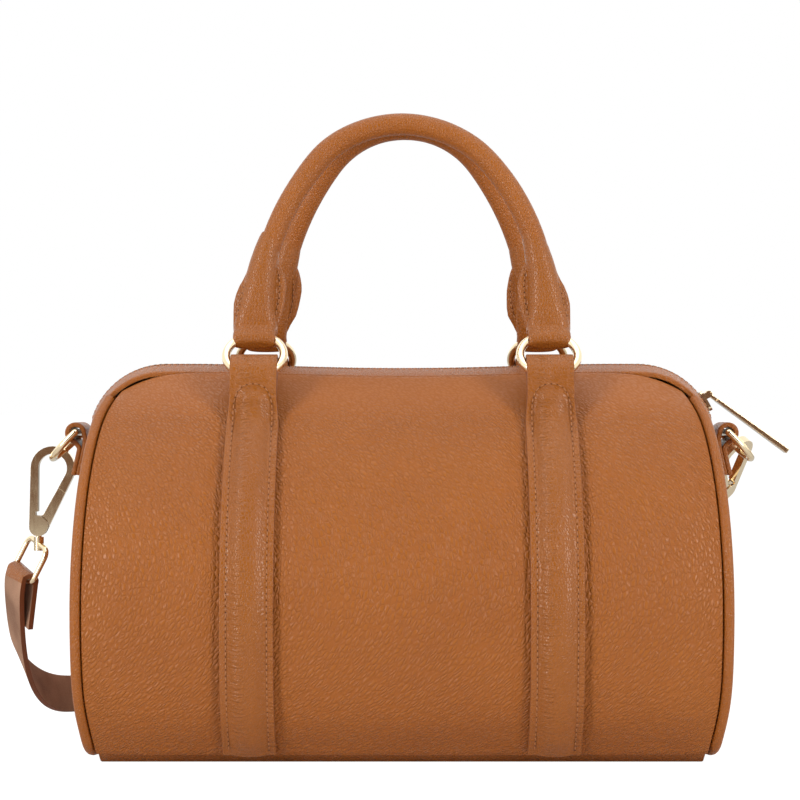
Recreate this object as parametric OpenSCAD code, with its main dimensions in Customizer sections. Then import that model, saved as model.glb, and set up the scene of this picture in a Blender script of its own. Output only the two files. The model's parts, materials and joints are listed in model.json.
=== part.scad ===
// Barrel bag in grained leather with two rolled handles, a top zip that runs over both
// rounded top corners, and a clip-on shoulder strap. Front is -Y, top is +Z, and the
// origin is the middle of the base where it meets the table.

/* [Bag body] */
// Width of the front panel between its end seams
panel_w = 272; // [230:1:330]
// Depth over the fullest part of the bag
body_d = 161; // [140:1:190]
// Height of the top seams above the table
body_h = 170; // [150:1:200]
// Thickness of the leather and its backing
leather_t = 2.2; // [1.6:0.1:2.8]
// How far the panels swell between their ends
pillow = 3; // [1:0.5:5]
// How far the top sags between the handles
top_sag = 2; // [0:0.5:4]
// Radius of the top corners of the front panel
seam_corner_r = 54; // [45:1:70]
// Diameter of the piping round each end
piping_d = 5; // [4:0.5:6]

/* [Base] */
// Width of the flat that the bag stands on, front to back
base_flat = 106; // [90:1:120]
// How far the base turns up to its seams
base_rise = 5; // [4:0.5:8]
// Thickness of the stiffening board inside
board_t = 2; // [1.5:0.5:3]

/* [Zip] */
// Width of the band that holds the zip
band_w = 44; // [36:1:52]
// Opening between the two facings
zip_gap = 10; // [9:0.5:12]
// How far the middle of the band stands above its seams
band_crown = 5; // [3:0.5:7]
// Radius of the band over the top corners
band_corner_r = 36; // [32:1:42]
// Distance from one zip tooth to the next
tooth_pitch = 2.6; // [2.2:0.1:3.2]
// Length of the zip slider
slider_len = 10; // [8:0.5:12]
// Length of the zip puller
puller_len = 45; // [35:1:55]

/* [Straps and rings] */
// How far the middle of a strap lies outside the middle of its handle's foot
strap_offset = 2.1; // [0:0.1:3]
// Width of the straps on the panels
strap_w = 23; // [20:1:28]
// Thickness of the strap leather
strap_t = 1.8; // [1.4:0.1:2.4]
// Height of the padded middle of a strap over its edges
strap_pad = 2.6; // [1:0.2:4]
// Width of the leather that passes through a ring
loop_w = 21; // [18:0.5:22]
// Wire of the handle rings
ring_wire = 3.8; // [3:0.2:4.4]
// Slope of the rings from the horizontal
ring_tilt = 45; // [40:1:50]

/* [Handles] */
// Diameter of the rolled handles
handle_d = 10.6; // [9:0.2:12]
// Distance between the two ends of a handle, centre to centre
handle_span = 127; // [115:1:135]
// Height of the handles over their rings
handle_h = 107; // [95:1:120]
// Radius of the top of the arch
arch_r = 48; // [40:1:52]
// Gap between the two handles where they lean together
handle_gap = 1.8; // [1:0.2:4]
// Width of the leaf at the foot of a handle
leaf_w = 23.6; // [21:0.2:26]

/* [Shoulder strap] */
// Width of the shoulder strap
sling_w = 18; // [14:1:20]
// Thickness of the shoulder strap
sling_t = 2.3; // [1.8:0.1:3]
// Wire of the end rings
d_wire = 3.2; // [2.6:0.2:3.6]
// Width of the tabs that hold the end rings
tab_w = 20; // [16:1:22]

/* [Hidden] */

strap_x = handle_span / 2 + strap_offset;
$fn = 48;

// Clearances: pieces that are sewn or seated, pins in their holes, leather in its wire
// loop, wire in a hook, and the gap beside a zip tooth
seat = 0.3;
run_gap = 0.06;
wire_play = 0.4;
hook_play = 0.5;
tooth_play = 0.05;
// Metal left round a pin's hole, and overrun of the cuts
eye_wall = 1;
overrun = 1;
leather_colour = "peru";
edge_colour = "saddlebrown";
metal_colour = "palegoldenrod";

// Section of the front panel from its top seam to its bottom seam, as shares of half the
// depth and of the height
profile_shares = [
    [0.447, 0.929], [0.646, 0.824], [0.857, 0.676], [0.988, 0.5], [0.994, 0.324], [0.944, 0.165]
];
// Half width of the panel at the same places, as shares of its fullest half width
edge_shares = [0.934, 0.967, 0.985, 0.996, 1, 1, 0.993, 0.971];
base_lip = 9;
profile = concat(
    [[band_w / 2, body_h]],
    [for (s = profile_shares) [s[0] * body_d / 2, s[1] * body_h]],
    [[base_flat / 2 + base_lip, base_rise]]
);
panel_rows = 14;
panel_columns = 20;
column_bunch = 0.3;

// Top corners of the panel, and how far down the panel they are felt
corner_run = 29;
corner_start = edge_shares[0] * panel_w / 2 - corner_run;
fade_share = 0.42;

pipe_r = piping_d / 2;
pipe_inset_share = 0.6;
pipe_out = seat + pipe_r;
pipe_gap = 1;

// Zip band: its crest runs along the top and turns down over both corners
crest_z = body_h + band_crown;
band_reach = 9;
band_end_x = panel_w / 2 + band_reach;
corner_x = band_end_x - band_corner_r;
corner_z = crest_z - band_corner_r;
band_turn = 76;
turn_rows = 8;
top_rows = 14;
edge_lean = 0.68;
band_edge = band_w / 2 - leather_t * edge_lean - seat;
tape_t = 0.7;
tape_out = 14;
tape_in = 3.1;
tape_depth = leather_t + seat;
tooth_len = 1.4;
tooth_top = 0.2;
tooth_in = 0.95;
slider_turn = 60;
slider_w = 8.4;
slider_plate = 1.3;
slider_neck = 1.5;
pin_r = 0.7;
pin_rise = 3.9;
puller_w = 6;
puller_t = 1.5;
puller_end_t = 2.3;
puller_slope = 36;

// Rings, each half in a strap loop and half in the foot of a handle
ring_inner_r = loop_w / 2 + wire_play;
ring_r = ring_inner_r + ring_wire / 2;
ring_y = 35;
ring_rise = 8;
ring_z = body_h + ring_rise;
ring_down = [cos(ring_tilt), -sin(ring_tilt)];
loop_play = 0.7;
loop_gap = ring_wire / 2 + loop_play;
loop_half = loop_gap + strap_t;
loop_depth = ring_r + ring_wire / 2 + wire_play;
uncovered_rows = 3;

// Handles: the foot of each bends from the slope of its ring to the lean of the handle
foot_reach = 17;
foot_y = ring_y - foot_reach * cos(ring_tilt);
foot_z = ring_z + foot_reach * sin(ring_tilt);
handle_r = handle_d / 2;
top_y = handle_r + handle_gap / 2;
top_z = ring_z + handle_h;
lean = atan2(foot_y - top_y, top_z - foot_z);
handle_rise = (top_z - foot_z) / cos(lean);
// The side of a handle is the arc that touches both its straight foot and its arch
foot_run = 5.86;
half_span = handle_span / 2;
arch_over = handle_rise - arch_r - foot_run;
side_r = (pow(half_span, 2) + pow(arch_over, 2) - pow(arch_r, 2)) / (2 * (half_span - arch_r));
arch_turn = atan2(side_r - half_span, arch_over);
cover_t = 1.3;
sleeve_t = 1;
sleeve_turn = 11;
wing_t = 3.4;

// End rings and their tabs
d_out = 5;
d_x = band_end_x + d_out;
d_rise = 4;
d_z = corner_z + d_rise;
d_r = tab_w / 2 + wire_play + d_wire / 2;
d_leg = 5;
d_slope = 45;
tab_t = 2;
tab_drop = 26;

// Hooks, drawn with the gate's pin at the origin and the arch upwards
hook_t = 3.8;
hook_wall = 3.5;
arch_out_r = 10.2;
arch_at = [7.4, 27.4];
boss_r = 4.2;
boss_at = [0.7, 0];
mouth_r = 1.4;
mouth_at = [2, 6.8];
gate_reach = 20.6;
gate_root = 5.6;
gate_t = 2.8;
tongue_t = 1.4;
gate_slot = 0.2;
gate_pin_r = 0.8;
wedge_from = 18;
gate_swing = 22;
gate_ease = 1;
tongue_turns = [12, 45];
stem_r = 1.3;
stem_len = 2.5;
stem_x = boss_at[0];
eye_len = 6.4;
link_wire = 2.6;
link_w = sling_w + 2 * wire_play + link_wire;
link_h = 17;
link_corner = 4;

// Where the end ring's wire lies in a hook, and each hook's place on its ring. The left
// hook hangs at the ring's end and the right one is drawn round to the back.
wire_at = [arch_at[0], 0, arch_at[1] + arch_out_r - hook_wall - d_wire / 2 - hook_play];
left_hook_turn = [0, 0, 0];
left_link_turn = [0, 26.6, 0];
left_link_spin = -52.8;
left_hang = [0, 0, -1];
right_hook_turn = [-40.4, 18.5, -144.3];
right_link_turn = [0, 0, 0];
right_link_spin = 51.4;
right_hang = [0.12, 0.66, -0.74];
right_round = 60;
function on_d_ring(side, turn) =
    let (out = d_leg + d_r * cos(turn))
    [side * (d_x + out * cos(d_slope)), d_r * sin(turn), d_z - out * sin(d_slope)];
left_hook_pos = on_d_ring(-1, 0) - turned(left_hook_turn, wire_at);
right_hook_pos = on_d_ring(1, right_round) - turned(right_hook_turn, wire_at);

// Vector helpers
function unit(v) = v / norm(v);
function about_x(a, v) = [v[0], v[1] * cos(a) - v[2] * sin(a), v[1] * sin(a) + v[2] * cos(a)];
function about_y(a, v) = [v[0] * cos(a) + v[2] * sin(a), v[1], -v[0] * sin(a) + v[2] * cos(a)];
function about_z(a, v) = [v[0] * cos(a) - v[1] * sin(a), v[0] * sin(a) + v[1] * cos(a), v[2]];
function turned(t, v) = about_z(t[2], about_y(t[1], about_x(t[0], v)));

// A smooth curve through a list of points, t from 0 to 1
function spline(p, t) =
    let (
        n = len(p) - 1,
        i = max(0, min(n - 1, floor(t * n))),
        f = t * n - i,
        a = p[max(0, i - 1)],
        b = p[i],
        c = p[i + 1],
        d = p[min(n, i + 2)]
    )
    b + (c - a) * f / 2 + (2 * a - 5 * b + 4 * c - d) * f * f / 2 + (3 * b - a - 3 * c + d) * f * f * f / 2;

// Faces of a closed sheet made of two grids of the same size, outer one first
function grid_faces(rows, columns) =
    let (
        half = rows * columns,
        ends = rows - 1,
        last = columns - 1
    )
    concat(
        [for (i = [0:rows - 2], j = [0:columns - 2]) each [
            [i * columns + j, i * columns + j + 1, (i + 1) * columns + j + 1],
            [i * columns + j, (i + 1) * columns + j + 1, (i + 1) * columns + j],
            [half + i * columns + j, half + (i + 1) * columns + j + 1, half + i * columns + j + 1],
            [half + i * columns + j, half + (i + 1) * columns + j, half + (i + 1) * columns + j + 1]
        ]],
        [for (j = [0:columns - 2]) each [
            [j, half + j, half + j + 1],
            [j, half + j + 1, j + 1],
            [ends * columns + j, half + ends * columns + j + 1, half + ends * columns + j],
            [ends * columns + j, ends * columns + j + 1, half + ends * columns + j + 1]
        ]],
        [for (i = [0:rows - 2]) each [
            [i * columns, half + (i + 1) * columns, half + i * columns],
            [i * columns, (i + 1) * columns, half + (i + 1) * columns],
            [i * columns + last, half + i * columns + last, half + (i + 1) * columns + last],
            [i * columns + last, half + (i + 1) * columns + last, (i + 1) * columns + last]
        ]]
    );

// Outward direction of a grid at one of its points
function grid_normal(g, i, j) =
    let (
        rows = len(g),
        columns = len(g[0]),
        along = g[min(rows - 1, i + 1)][j] - g[max(0, i - 1)][j],
        across = g[i][min(columns - 1, j + 1)] - g[i][max(0, j - 1)]
    )
    unit(cross(along, across));

function offset_grid(g, d) =
    [for (i = [0:len(g) - 1]) [for (j = [0:len(g[0]) - 1]) g[i][j] + d * grid_normal(g, i, j)]];

function flat_list(g) = [for (row = g, p = row) p];

module sheet(outer, inner) {
    polyhedron(
        points = concat(flat_list(outer), flat_list(inner)),
        faces = grid_faces(len(outer), len(outer[0])),
        convexity = 6
    );
}

// Closed solid from a list of rings of points
module loft(rings) {
    n = len(rings[0]);
    last = (len(rings) - 1) * n;
    polyhedron(
        points = flat_list(rings),
        faces = concat(
            [for (i = [0:len(rings) - 2], j = [0:n - 1]) each [
                [i * n + j, (i + 1) * n + j, (i + 1) * n + (j + 1) % n],
                [i * n + j, (i + 1) * n + (j + 1) % n, i * n + (j + 1) % n]
            ]],
            [[for (j = [0:n - 1]) j]],
            [[for (j = [n - 1:-1:0]) last + j]]
        ),
        convexity = 6
    );
}

// Tube with an open bore, from matching rings outside and inside
module hollow_loft(outer, inner) {
    n = len(outer[0]);
    m = len(outer) * n;
    last = m - n;
    polyhedron(
        points = concat(flat_list(outer), flat_list(inner)),
        faces = concat(
            [for (i = [0:len(outer) - 2], j = [0:n - 1])
                let (a = i * n + j, b = i * n + (j + 1) % n, c = a + n, d = b + n)
                each [[a, c, d], [a, d, b], [m + a, m + b, m + d], [m + a, m + d, m + c]]],
            [for (j = [0:n - 1])
                let (a = j, b = (j + 1) % n)
                each [
                    [a, b, m + b], [a, m + b, m + a],
                    [last + b, last + a, m + last + a], [last + b, m + last + a, m + last + b]
                ]]
        ),
        convexity = 6
    );
}

// Shape of the bag: a point of the front panel, u across from -1 to 1, t from top to bottom
function sag_at(x) = top_sag * pow(max(0, 1 - pow(x / corner_start, 2)), 2);
function drop_at(x) =
    let (d = max(0, abs(x) - corner_start))
    seam_corner_r - sqrt(pow(seam_corner_r, 2) - d * d);
function fade(t) = pow(max(0, 1 - t / fade_share), 2);
function half_width(t) = spline(edge_shares, t) * panel_w / 2;
function panel_at(x, t) =
    let (
        p = spline(profile, t),
        u = x / half_width(t)
    )
    [x, -(p[0] - pillow * pow(abs(u), 4) * sin(180 * t)), p[1] - (drop_at(x) + sag_at(x)) * fade(t)];
function panel_point(u, t) = panel_at(u * half_width(t), t);

// Columns stand closer together towards the ends, where the panel turns
function column_at(j) =
    let (w = 2 * j / panel_columns - 1)
    w * (1 + column_bunch * (1 - w * w));
panel_grid = [for (i = [0:panel_rows]) [for (j = [0:panel_columns])
    panel_point(column_at(j), i / panel_rows)]];

module front_panel() {
    color(leather_colour) sheet(panel_grid, offset_grid(panel_grid, -leather_t));
}

module back_panel() {
    mirror([0, 1, 0]) front_panel();
}

// The base is one tray that turns up to the seams of the front and back panels
module base_panel() {
    half = base_flat / 2;
    lip = half + base_lip - leather_t - seat;
    rise = base_rise - seat;
    inner = half - leather_t * base_rise / base_lip;
    length = 2 * (half_width(1) - seat);
    color(leather_colour)
        rotate([90, 0, 90])
            linear_extrude(height = length, center = true)
                polygon([
                    [-half, 0], [half, 0], [lip, rise], [lip - leather_t, rise + leather_t / 2],
                    [inner, leather_t], [-inner, leather_t], [-lip + leather_t, rise + leather_t / 2],
                    [-lip, rise]
                ]);
}

// Middle line of the piping down the front edge of the right end
function pipe_at(t) =
    let (e = panel_point(1, t))
    [e[0] + pipe_out, e[1] + pipe_r * pipe_inset_share, max(e[2], pipe_r)];

pipe_start = 0.07;
pipe_rows = 16;
pipe_sides = 8;
under_rows = 4;
pipe_front = [for (i = [0:pipe_rows]) pipe_at(pipe_start + (1 - pipe_start) * i / pipe_rows)];
pipe_under = [for (i = [1:under_rows - 1])
    let (p = pipe_front[pipe_rows])
    [p[0], p[1] * (1 - 2 * i / under_rows), pipe_r]];
pipe_path = concat(
    pipe_front, pipe_under,
    [for (i = [pipe_rows:-1:0]) [pipe_front[i][0], -pipe_front[i][1], pipe_front[i][2]]]
);

// Rings of points round a path, turned so that they never twist about the given direction
function tube_rings(path, r, sides, side_dir) =
    [for (i = [0:len(path) - 1])
        let (
            along = unit(path[min(len(path) - 1, i + 1)] - path[max(0, i - 1)]),
            a = unit(side_dir - (side_dir * along) * along),
            b = cross(along, a)
        )
        [for (k = [0:sides - 1]) path[i] + r * (cos(360 * k / sides) * a + sin(360 * k / sides) * b)]];

module right_piping() {
    color(edge_colour) loft(tube_rings(pipe_path, pipe_r, pipe_sides, [1, 0, 0]));
}

module left_piping() {
    mirror([1, 0, 0]) right_piping();
}

// Crest of the band at a height, which the end panel follows underneath
function crest_x(z) =
    corner_x + sqrt(max(0, pow(band_corner_r, 2) - pow(max(0, z - corner_z), 2)));

end_rows = 16;
end_columns = 10;
end_start = 0.04;
end_stop = 0.98;
end_ear = 0.6;
function end_point(v, t) =
    let (
        e = panel_point(1, t),
        border = e[0] + pipe_out,
        half = -e[1] - pipe_r * (1 + pipe_inset_share) - pipe_gap,
        crest = crest_x(e[2]) - leather_t - 2 * seat,
        low = max(0, t - 0.5) / 0.5,
        swell = (crest - border) * (1 - low * low * low)
    )
    [border + swell * (1 - v * v), v * half, max(e[2], base_rise + seat)];

// The end panel stops below the end of the band in its middle, and rises beside the band
// as two ears
band_low = corner_z + (band_corner_r - leather_t - band_crown) * cos(band_turn) - seat;
edge_heights = [for (t = [end_stop:-0.02:0]) [panel_point(1, t)[2], t]];
function end_top(v) =
    let (share = max(0, abs(v) - end_ear) / (1 - end_ear))
    lookup(band_low, edge_heights) * (1 - share) + end_start * share;
end_grid = [for (i = [0:end_rows]) [for (j = [0:end_columns])
    let (v = 2 * j / end_columns - 1, top = end_top(v))
    end_point(v, top + (end_stop - top) * i / end_rows)]];

module right_end_panel() {
    color(leather_colour) sheet(end_grid, offset_grid(end_grid, -leather_t));
}

module left_end_panel() {
    mirror([1, 0, 0]) right_end_panel();
}

// Crest of the zip band from its left end to its right end: place and outward direction
band_rows = 2 * turn_rows + top_rows;
function turn_frame(side, turn) =
    [[side * (corner_x + band_corner_r * sin(turn)), corner_z + band_corner_r * cos(turn)],
     [side * sin(turn), cos(turn)]];
function top_frame(x) = [[x, crest_z - sag_at(x)], [0, 1]];
function band_frame(i) =
    i <= turn_rows ? turn_frame(-1, band_turn * (1 - i / turn_rows))
    : i >= turn_rows + top_rows ? turn_frame(1, band_turn * (i - turn_rows - top_rows) / turn_rows)
    : top_frame(corner_x * (2 * (i - turn_rows) / top_rows - 1));
function crown_at(y) = band_crown * pow(2 * y / band_w, 2);
function band_point(i, y, depth) =
    let (
        f = band_frame(i),
        d = depth + crown_at(y)
    )
    [f[0][0] - f[1][0] * d, y, f[0][1] - f[1][1] * d];

band_columns = 3;
function band_grid(from, to, depth) =
    [for (i = [0:band_rows]) [for (j = [0:band_columns])
        band_point(i, from + (to - from) * j / band_columns, depth)]];

module band_strip(from, to, depth, thick) {
    sheet(band_grid(from, to, depth), band_grid(from, to, depth + thick));
}

module zip_facing_front() {
    color(leather_colour) band_strip(-band_edge, -zip_gap / 2, 0, leather_t);
}

module zip_facing_back() {
    color(leather_colour) band_strip(zip_gap / 2, band_edge, 0, leather_t);
}

module zip_tape_front() {
    color(edge_colour) band_strip(-tape_out, -tape_in, tape_depth, tape_t);
}

module zip_tape_back() {
    color(edge_colour) band_strip(tape_in, tape_out, tape_depth, tape_t);
}

// Places a child on the crest of the band, at a run measured from the middle of the top
module on_crest(run) {
    turn = (abs(run) - corner_x) / band_corner_r * 180 / PI;
    side = sign(run);
    f = turn > 0 ? turn_frame(side, turn) : top_frame(run);
    translate([f[0][0], 0, f[0][1]])
        rotate([0, side * max(0, turn), 0])
            children();
}

slider_run = corner_x + band_corner_r * slider_turn * PI / 180;
band_run = corner_x + band_corner_r * band_turn * PI / 180;
stop_len = 3;
teeth_from = -band_run + 2 * stop_len;
teeth_to = slider_run - slider_len / 2;
tooth_count = floor((teeth_to - teeth_from) / tooth_pitch);
tooth_bottom = tape_depth + tape_t;

module teeth(side, shift) {
    for (i = [0:tooth_count - 1])
        on_crest(teeth_from + shift + i * tooth_pitch)
            translate([0, side * (tooth_in + tape_in - tooth_play) / 2, -(tooth_top + tooth_bottom) / 2])
                cube([tooth_len, tape_in - tooth_play - tooth_in, tooth_bottom - tooth_top], center = true);
}

module zip_teeth_front() {
    color(metal_colour) teeth(-1, 0);
}

module zip_teeth_back() {
    color(metal_colour) teeth(1, tooth_pitch / 2);
}

module zip_stops() {
    color(metal_colour)
        for (run = [-band_run + stop_len / 2, band_run - stop_len / 2], side = [-1, 1])
            on_crest(run)
                translate([0, side * (tooth_in + tape_in - tooth_play) / 2, -(tooth_top + tooth_bottom) / 2])
                    cube([stop_len - seat, tape_in - tooth_play - tooth_in, tooth_bottom - tooth_top],
                        center = true);
}

// Slider: two plates joined by a neck, with two lugs and a pin for the puller
slider_low = tooth_bottom + seat + crown_at(slider_w / 2) + 2 * run_gap;
lug_t = 1;
lug_x = -slider_len / 5;
module zip_slider() {
    lug_y = puller_w / 4;
    top = seat + slider_plate;
    color(metal_colour)
        on_crest(slider_run) {
            translate([0, 0, seat + slider_plate / 2])
                rounded_plate(slider_len, slider_w, slider_plate, slider_w / 4);
            translate([0, 0, -slider_low - slider_plate / 2])
                rounded_plate(slider_len, slider_w, slider_plate, slider_w / 4);
            translate([-slider_neck / 2 + slider_len / 4, -slider_neck / 2, -slider_low - slider_plate / 2])
                cube([slider_neck, slider_neck, slider_low + top]);
            for (side = [-1, 1])
                translate([lug_x, side * (lug_y + lug_t / 2 + seat / 2), 0])
                    rotate([90, 0, 0])
                        linear_extrude(height = lug_t, center = true)
                            polygon([
                                [-2 * pin_r, top - slider_plate / 2], [2 * pin_r, top - slider_plate / 2],
                                [2 * pin_r, pin_rise], [pin_r, pin_rise + pin_r],
                                [-pin_r, pin_rise + pin_r], [-2 * pin_r, pin_rise]
                            ]);
            translate([lug_x, 0, pin_rise])
                rotate([90, 0, 0])
                    cylinder(r = pin_r, h = 2 * lug_y + lug_t + seat, center = true);
        }
}

module rounded_plate(x, y, z, r) {
    union() {
        cube([x - 2 * r, y, z], center = true);
        cube([x, y - 2 * r, z], center = true);
        for (a = [-1, 1], b = [-1, 1])
            translate([a * (x / 2 - r), b * (y / 2 - r), 0])
                cylinder(r = r, h = z, center = true);
    }
}

// Puller: an eye on the pin and a long blade that thickens to its end
module zip_puller() {
    pin_at = turned([0, slider_turn, 0], [lug_x, 0, band_corner_r + pin_rise]);
    eye_r = pin_r + run_gap + eye_wall;
    blade_from = 2.5 * eye_r;
    blade_to = puller_len - blade_from;
    neck = puller_w / 2;
    color(metal_colour)
        translate([corner_x + pin_at[0], 0, corner_z + pin_at[2]])
            rotate([0, puller_slope, 0])
                difference() {
                    union() {
                        rotate([90, 0, 0]) cylinder(r = eye_r, h = neck, center = true);
                        translate([0, -neck / 2, -puller_t / 2])
                            cube([blade_from + eye_wall, neck, puller_t]);
                        translate([blade_from, puller_w / 2, 0])
                            rotate([90, 0, 0])
                                linear_extrude(height = puller_w)
                                    polygon([
                                        [0, -puller_t / 2], [blade_to, -puller_end_t / 2],
                                        [blade_to, puller_end_t / 2], [0, puller_t / 2]
                                    ]);
                    }
                    rotate([90, 0, 0]) cylinder(r = pin_r + run_gap, h = puller_w + overrun, center = true);
                }
}

// Section of a padded strap: place across as a share of half its width, and how much of
// the padding stands there
strap_section_shares = [
    [-1, 0], [-0.7, 0.08], [-0.55, 0.55], [-0.25, 0.92], [0, 1],
    [0.25, 0.92], [0.55, 0.55], [0.7, 0.08], [1, 0]
];
function strap_out(t) =
    let (
        a = panel_at(strap_x, max(0, t - 1 / panel_rows)),
        b = panel_at(strap_x, min(1, t + 1 / panel_rows))
    )
    unit([0, b[2] - a[2], a[1] - b[1]]);
function strap_grid(height, pad) =
    [for (i = [uncovered_rows:panel_rows])
        let (t = i / panel_rows)
        [for (s = strap_section_shares)
            panel_at(strap_x + s[0] * strap_w / 2, t) + strap_out(t) * (height + pad * s[1])]];

module front_right_strap() {
    color(leather_colour)
        sheet(strap_grid(seat + strap_t, strap_pad), strap_grid(seat, 0));
}

module front_left_strap() {
    mirror([1, 0, 0]) front_right_strap();
}

module back_right_strap() {
    mirror([0, 1, 0]) front_right_strap();
}

module back_left_strap() {
    mirror([0, 1, 0]) front_left_strap();
}

// Outline of a slot with round ends between two heights
function slot(from, to, r, steps = 12) =
    concat(
        [for (k = [0:steps]) [r * cos(180 * k / steps), to - r + r * sin(180 * k / steps)]],
        [for (k = [0:steps]) [-r * cos(180 * k / steps), from + r - r * sin(180 * k / steps)]]
    );

// Puts a drawing of the slope of the rings into the section of the bag, where x is
// towards the front
module in_ring_slope() {
    translate([ring_y, ring_z]) rotate(ring_tilt) children();
}

// Top of a strap: the fold round the lower half of the ring and the doubled leg below it
module strap_loop_section() {
    top = uncovered_rows / panel_rows;
    strap_top = panel_at(strap_x, top);
    rise = strap_out(top)[2] * (seat + strap_t + strap_pad) + seat;
    join = [ring_y, ring_z] + ring_down * loop_depth;
    leg_half = strap_t;
    foot = [-strap_top[1] + seat + strap_t, strap_top[2] + rise];
    difference() {
        union() {
            in_ring_slope() polygon(slot(-loop_depth - strap_t, strap_t / 2, loop_half));
            polygon([
                join + [leg_half, leg_half], foot + [leg_half, 0],
                foot - [leg_half, 0], join - [leg_half, leg_half]
            ]);
        }
        in_ring_slope() polygon(slot(-loop_depth, -strap_t / 2, loop_gap));
    }
}

module front_strap_loops() {
    color(leather_colour)
        for (side = [-1, 1])
            translate([side * strap_x, 0, 0])
                rotate([90, 0, -90])
                    linear_extrude(height = loop_w, center = true)
                        strap_loop_section();
}

module back_strap_loops() {
    mirror([0, 1, 0]) front_strap_loops();
}

module ring(side) {
    color(metal_colour)
        translate([side * strap_x, -ring_y, ring_z])
            rotate([ring_tilt, 0, 0])
                rotate_extrude() translate([ring_r, 0]) circle(d = ring_wire);
}

module front_left_ring() {
    ring(-1);
}

module front_right_ring() {
    ring(1);
}

module back_left_ring() {
    mirror([0, 1, 0]) ring(-1);
}

module back_right_ring() {
    mirror([0, 1, 0]) ring(1);
}

// Puts an upright drawing of the handle, with its feet at zero, onto its lean
module in_handle_lean() {
    translate([0, -foot_y, foot_z]) rotate([-lean, 0, 0]) children();
}

// Middle line of the front handle from its right foot over the arch to its left foot
side_steps = 5;
arch_steps = 10;
handle_sides = 12;
core_sides = 8;
arch_centre_h = foot_run + (side_r - arch_r) * cos(arch_turn);
side_line = [for (i = [0:side_steps])
    let (a = (90 - arch_turn) * i / side_steps)
    [half_span - side_r + side_r * cos(a), foot_run + side_r * sin(a)]];
arch_line = [for (i = [1:arch_steps - 1])
    let (a = 90 - arch_turn + 2 * arch_turn * i / arch_steps)
    [arch_r * cos(a), arch_centre_h + arch_r * sin(a)]];
handle_line = concat(
    [[half_span, seat]], side_line, arch_line,
    [for (i = [side_steps:-1:0]) [-side_line[i][0], side_line[i][1]]],
    [[-half_span, seat]]
);
handle_path = [for (p = handle_line) [p[0], p[1] * sin(lean) - foot_y, foot_z + p[1] * cos(lean)]];

module along_side(turn) {
    rotate([90, 0, 0])
        translate([half_span - side_r, foot_run, 0])
            rotate_extrude(angle = turn) translate([side_r, 0]) children();
}

module along_foot() {
    translate([half_span, 0, 0]) linear_extrude(height = foot_run) children();
}

module front_handle() {
    color(leather_colour)
        hollow_loft(
            tube_rings(handle_path, handle_r, handle_sides, [0, 1, 0]),
            tube_rings(handle_path, handle_r - cover_t, handle_sides, [0, 1, 0])
        );
}

module back_handle() {
    mirror([0, 1, 0]) front_handle();
}

// The cord that fills a rolled handle
module front_handle_core() {
    color("tan")
        loft(tube_rings(handle_path, handle_r - cover_t - seat, core_sides, [0, 1, 0]));
}

module back_handle_core() {
    mirror([0, 1, 0]) front_handle_core();
}

// Outline of the sewn wings at the foot of a handle, as shares of half the leaf's width
// and of its height
leaf_h = 32;
leaf_shares = [
    [0.84, -0.03], [0.9, 0.08], [0.98, 0.22], [1, 0.38], [0.93, 0.56], [0.78, 0.74], [0.58, 0.9], [0.5, 1]
];
leaf_outline = concat(
    [for (s = leaf_shares) [s[0] * leaf_w / 2, s[1] * leaf_h]],
    [for (i = [len(leaf_shares) - 1:-1:0]) [-leaf_shares[i][0] * leaf_w / 2, leaf_shares[i][1] * leaf_h]]
);

// Fold round the upper half of the ring, in the section of the bag
module tab_loop_section() {
    difference() {
        in_ring_slope() polygon(slot(tab_cross, foot_reach + loop_half, loop_half));
        in_ring_slope() polygon(slot(tab_cross + strap_t, loop_depth, loop_gap));
    }
}

tab_cross = ring_wire / 2 + seat;
tab_loop_w = 2 * sqrt(pow(ring_inner_r - wire_play, 2) - pow(tab_cross + strap_t, 2));

module handle_tab() {
    difference() {
        union() {
            translate([strap_x, 0, 0])
                rotate([90, 0, -90])
                    linear_extrude(height = tab_loop_w, center = true)
                        tab_loop_section();
            in_handle_lean() {
                along_foot() circle(r = handle_r + sleeve_t);
                along_side(sleeve_turn) circle(r = handle_r + sleeve_t);
                translate([half_span, wing_t / 2, 0])
                    rotate([90, 0, 0])
                        linear_extrude(height = wing_t) polygon(leaf_outline);
            }
        }
        in_handle_lean() {
            along_foot() circle(r = handle_r + seat / 2);
            along_side(90 - arch_turn) circle(r = handle_r + seat / 2);
        }
    }
}

module front_handle_tabs() {
    color(leather_colour)
        for (flip = [0, 1]) mirror([flip, 0, 0]) handle_tab();
}

module back_handle_tabs() {
    mirror([0, 1, 0]) front_handle_tabs();
}

// Tab at the end of the bag: a plate sewn to the end, with a loop for the ring's bar
module right_d_ring_tab() {
    bore = d_wire / 2 + seat;
    outer = bore + tab_t;
    back_x = band_end_x - leather_t + seat;
    top = corner_z + band_corner_r * cos(band_turn) - seat;
    color(leather_colour)
        rotate([90, 0, 0])
            linear_extrude(height = tab_w, center = true)
                difference() {
                    union() {
                        translate([d_x, d_z]) circle(r = outer);
                        polygon([
                            [back_x, d_z - tab_drop], [back_x + tab_t, d_z - tab_drop],
                            [back_x + tab_t, d_z - outer], [d_x, d_z - outer], [d_x, d_z + outer],
                            [back_x + tab_t, top], [back_x, top]
                        ]);
                    }
                    translate([d_x, d_z]) circle(r = bore);
                }
}

module left_d_ring_tab() {
    mirror([1, 0, 0]) right_d_ring_tab();
}

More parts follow.
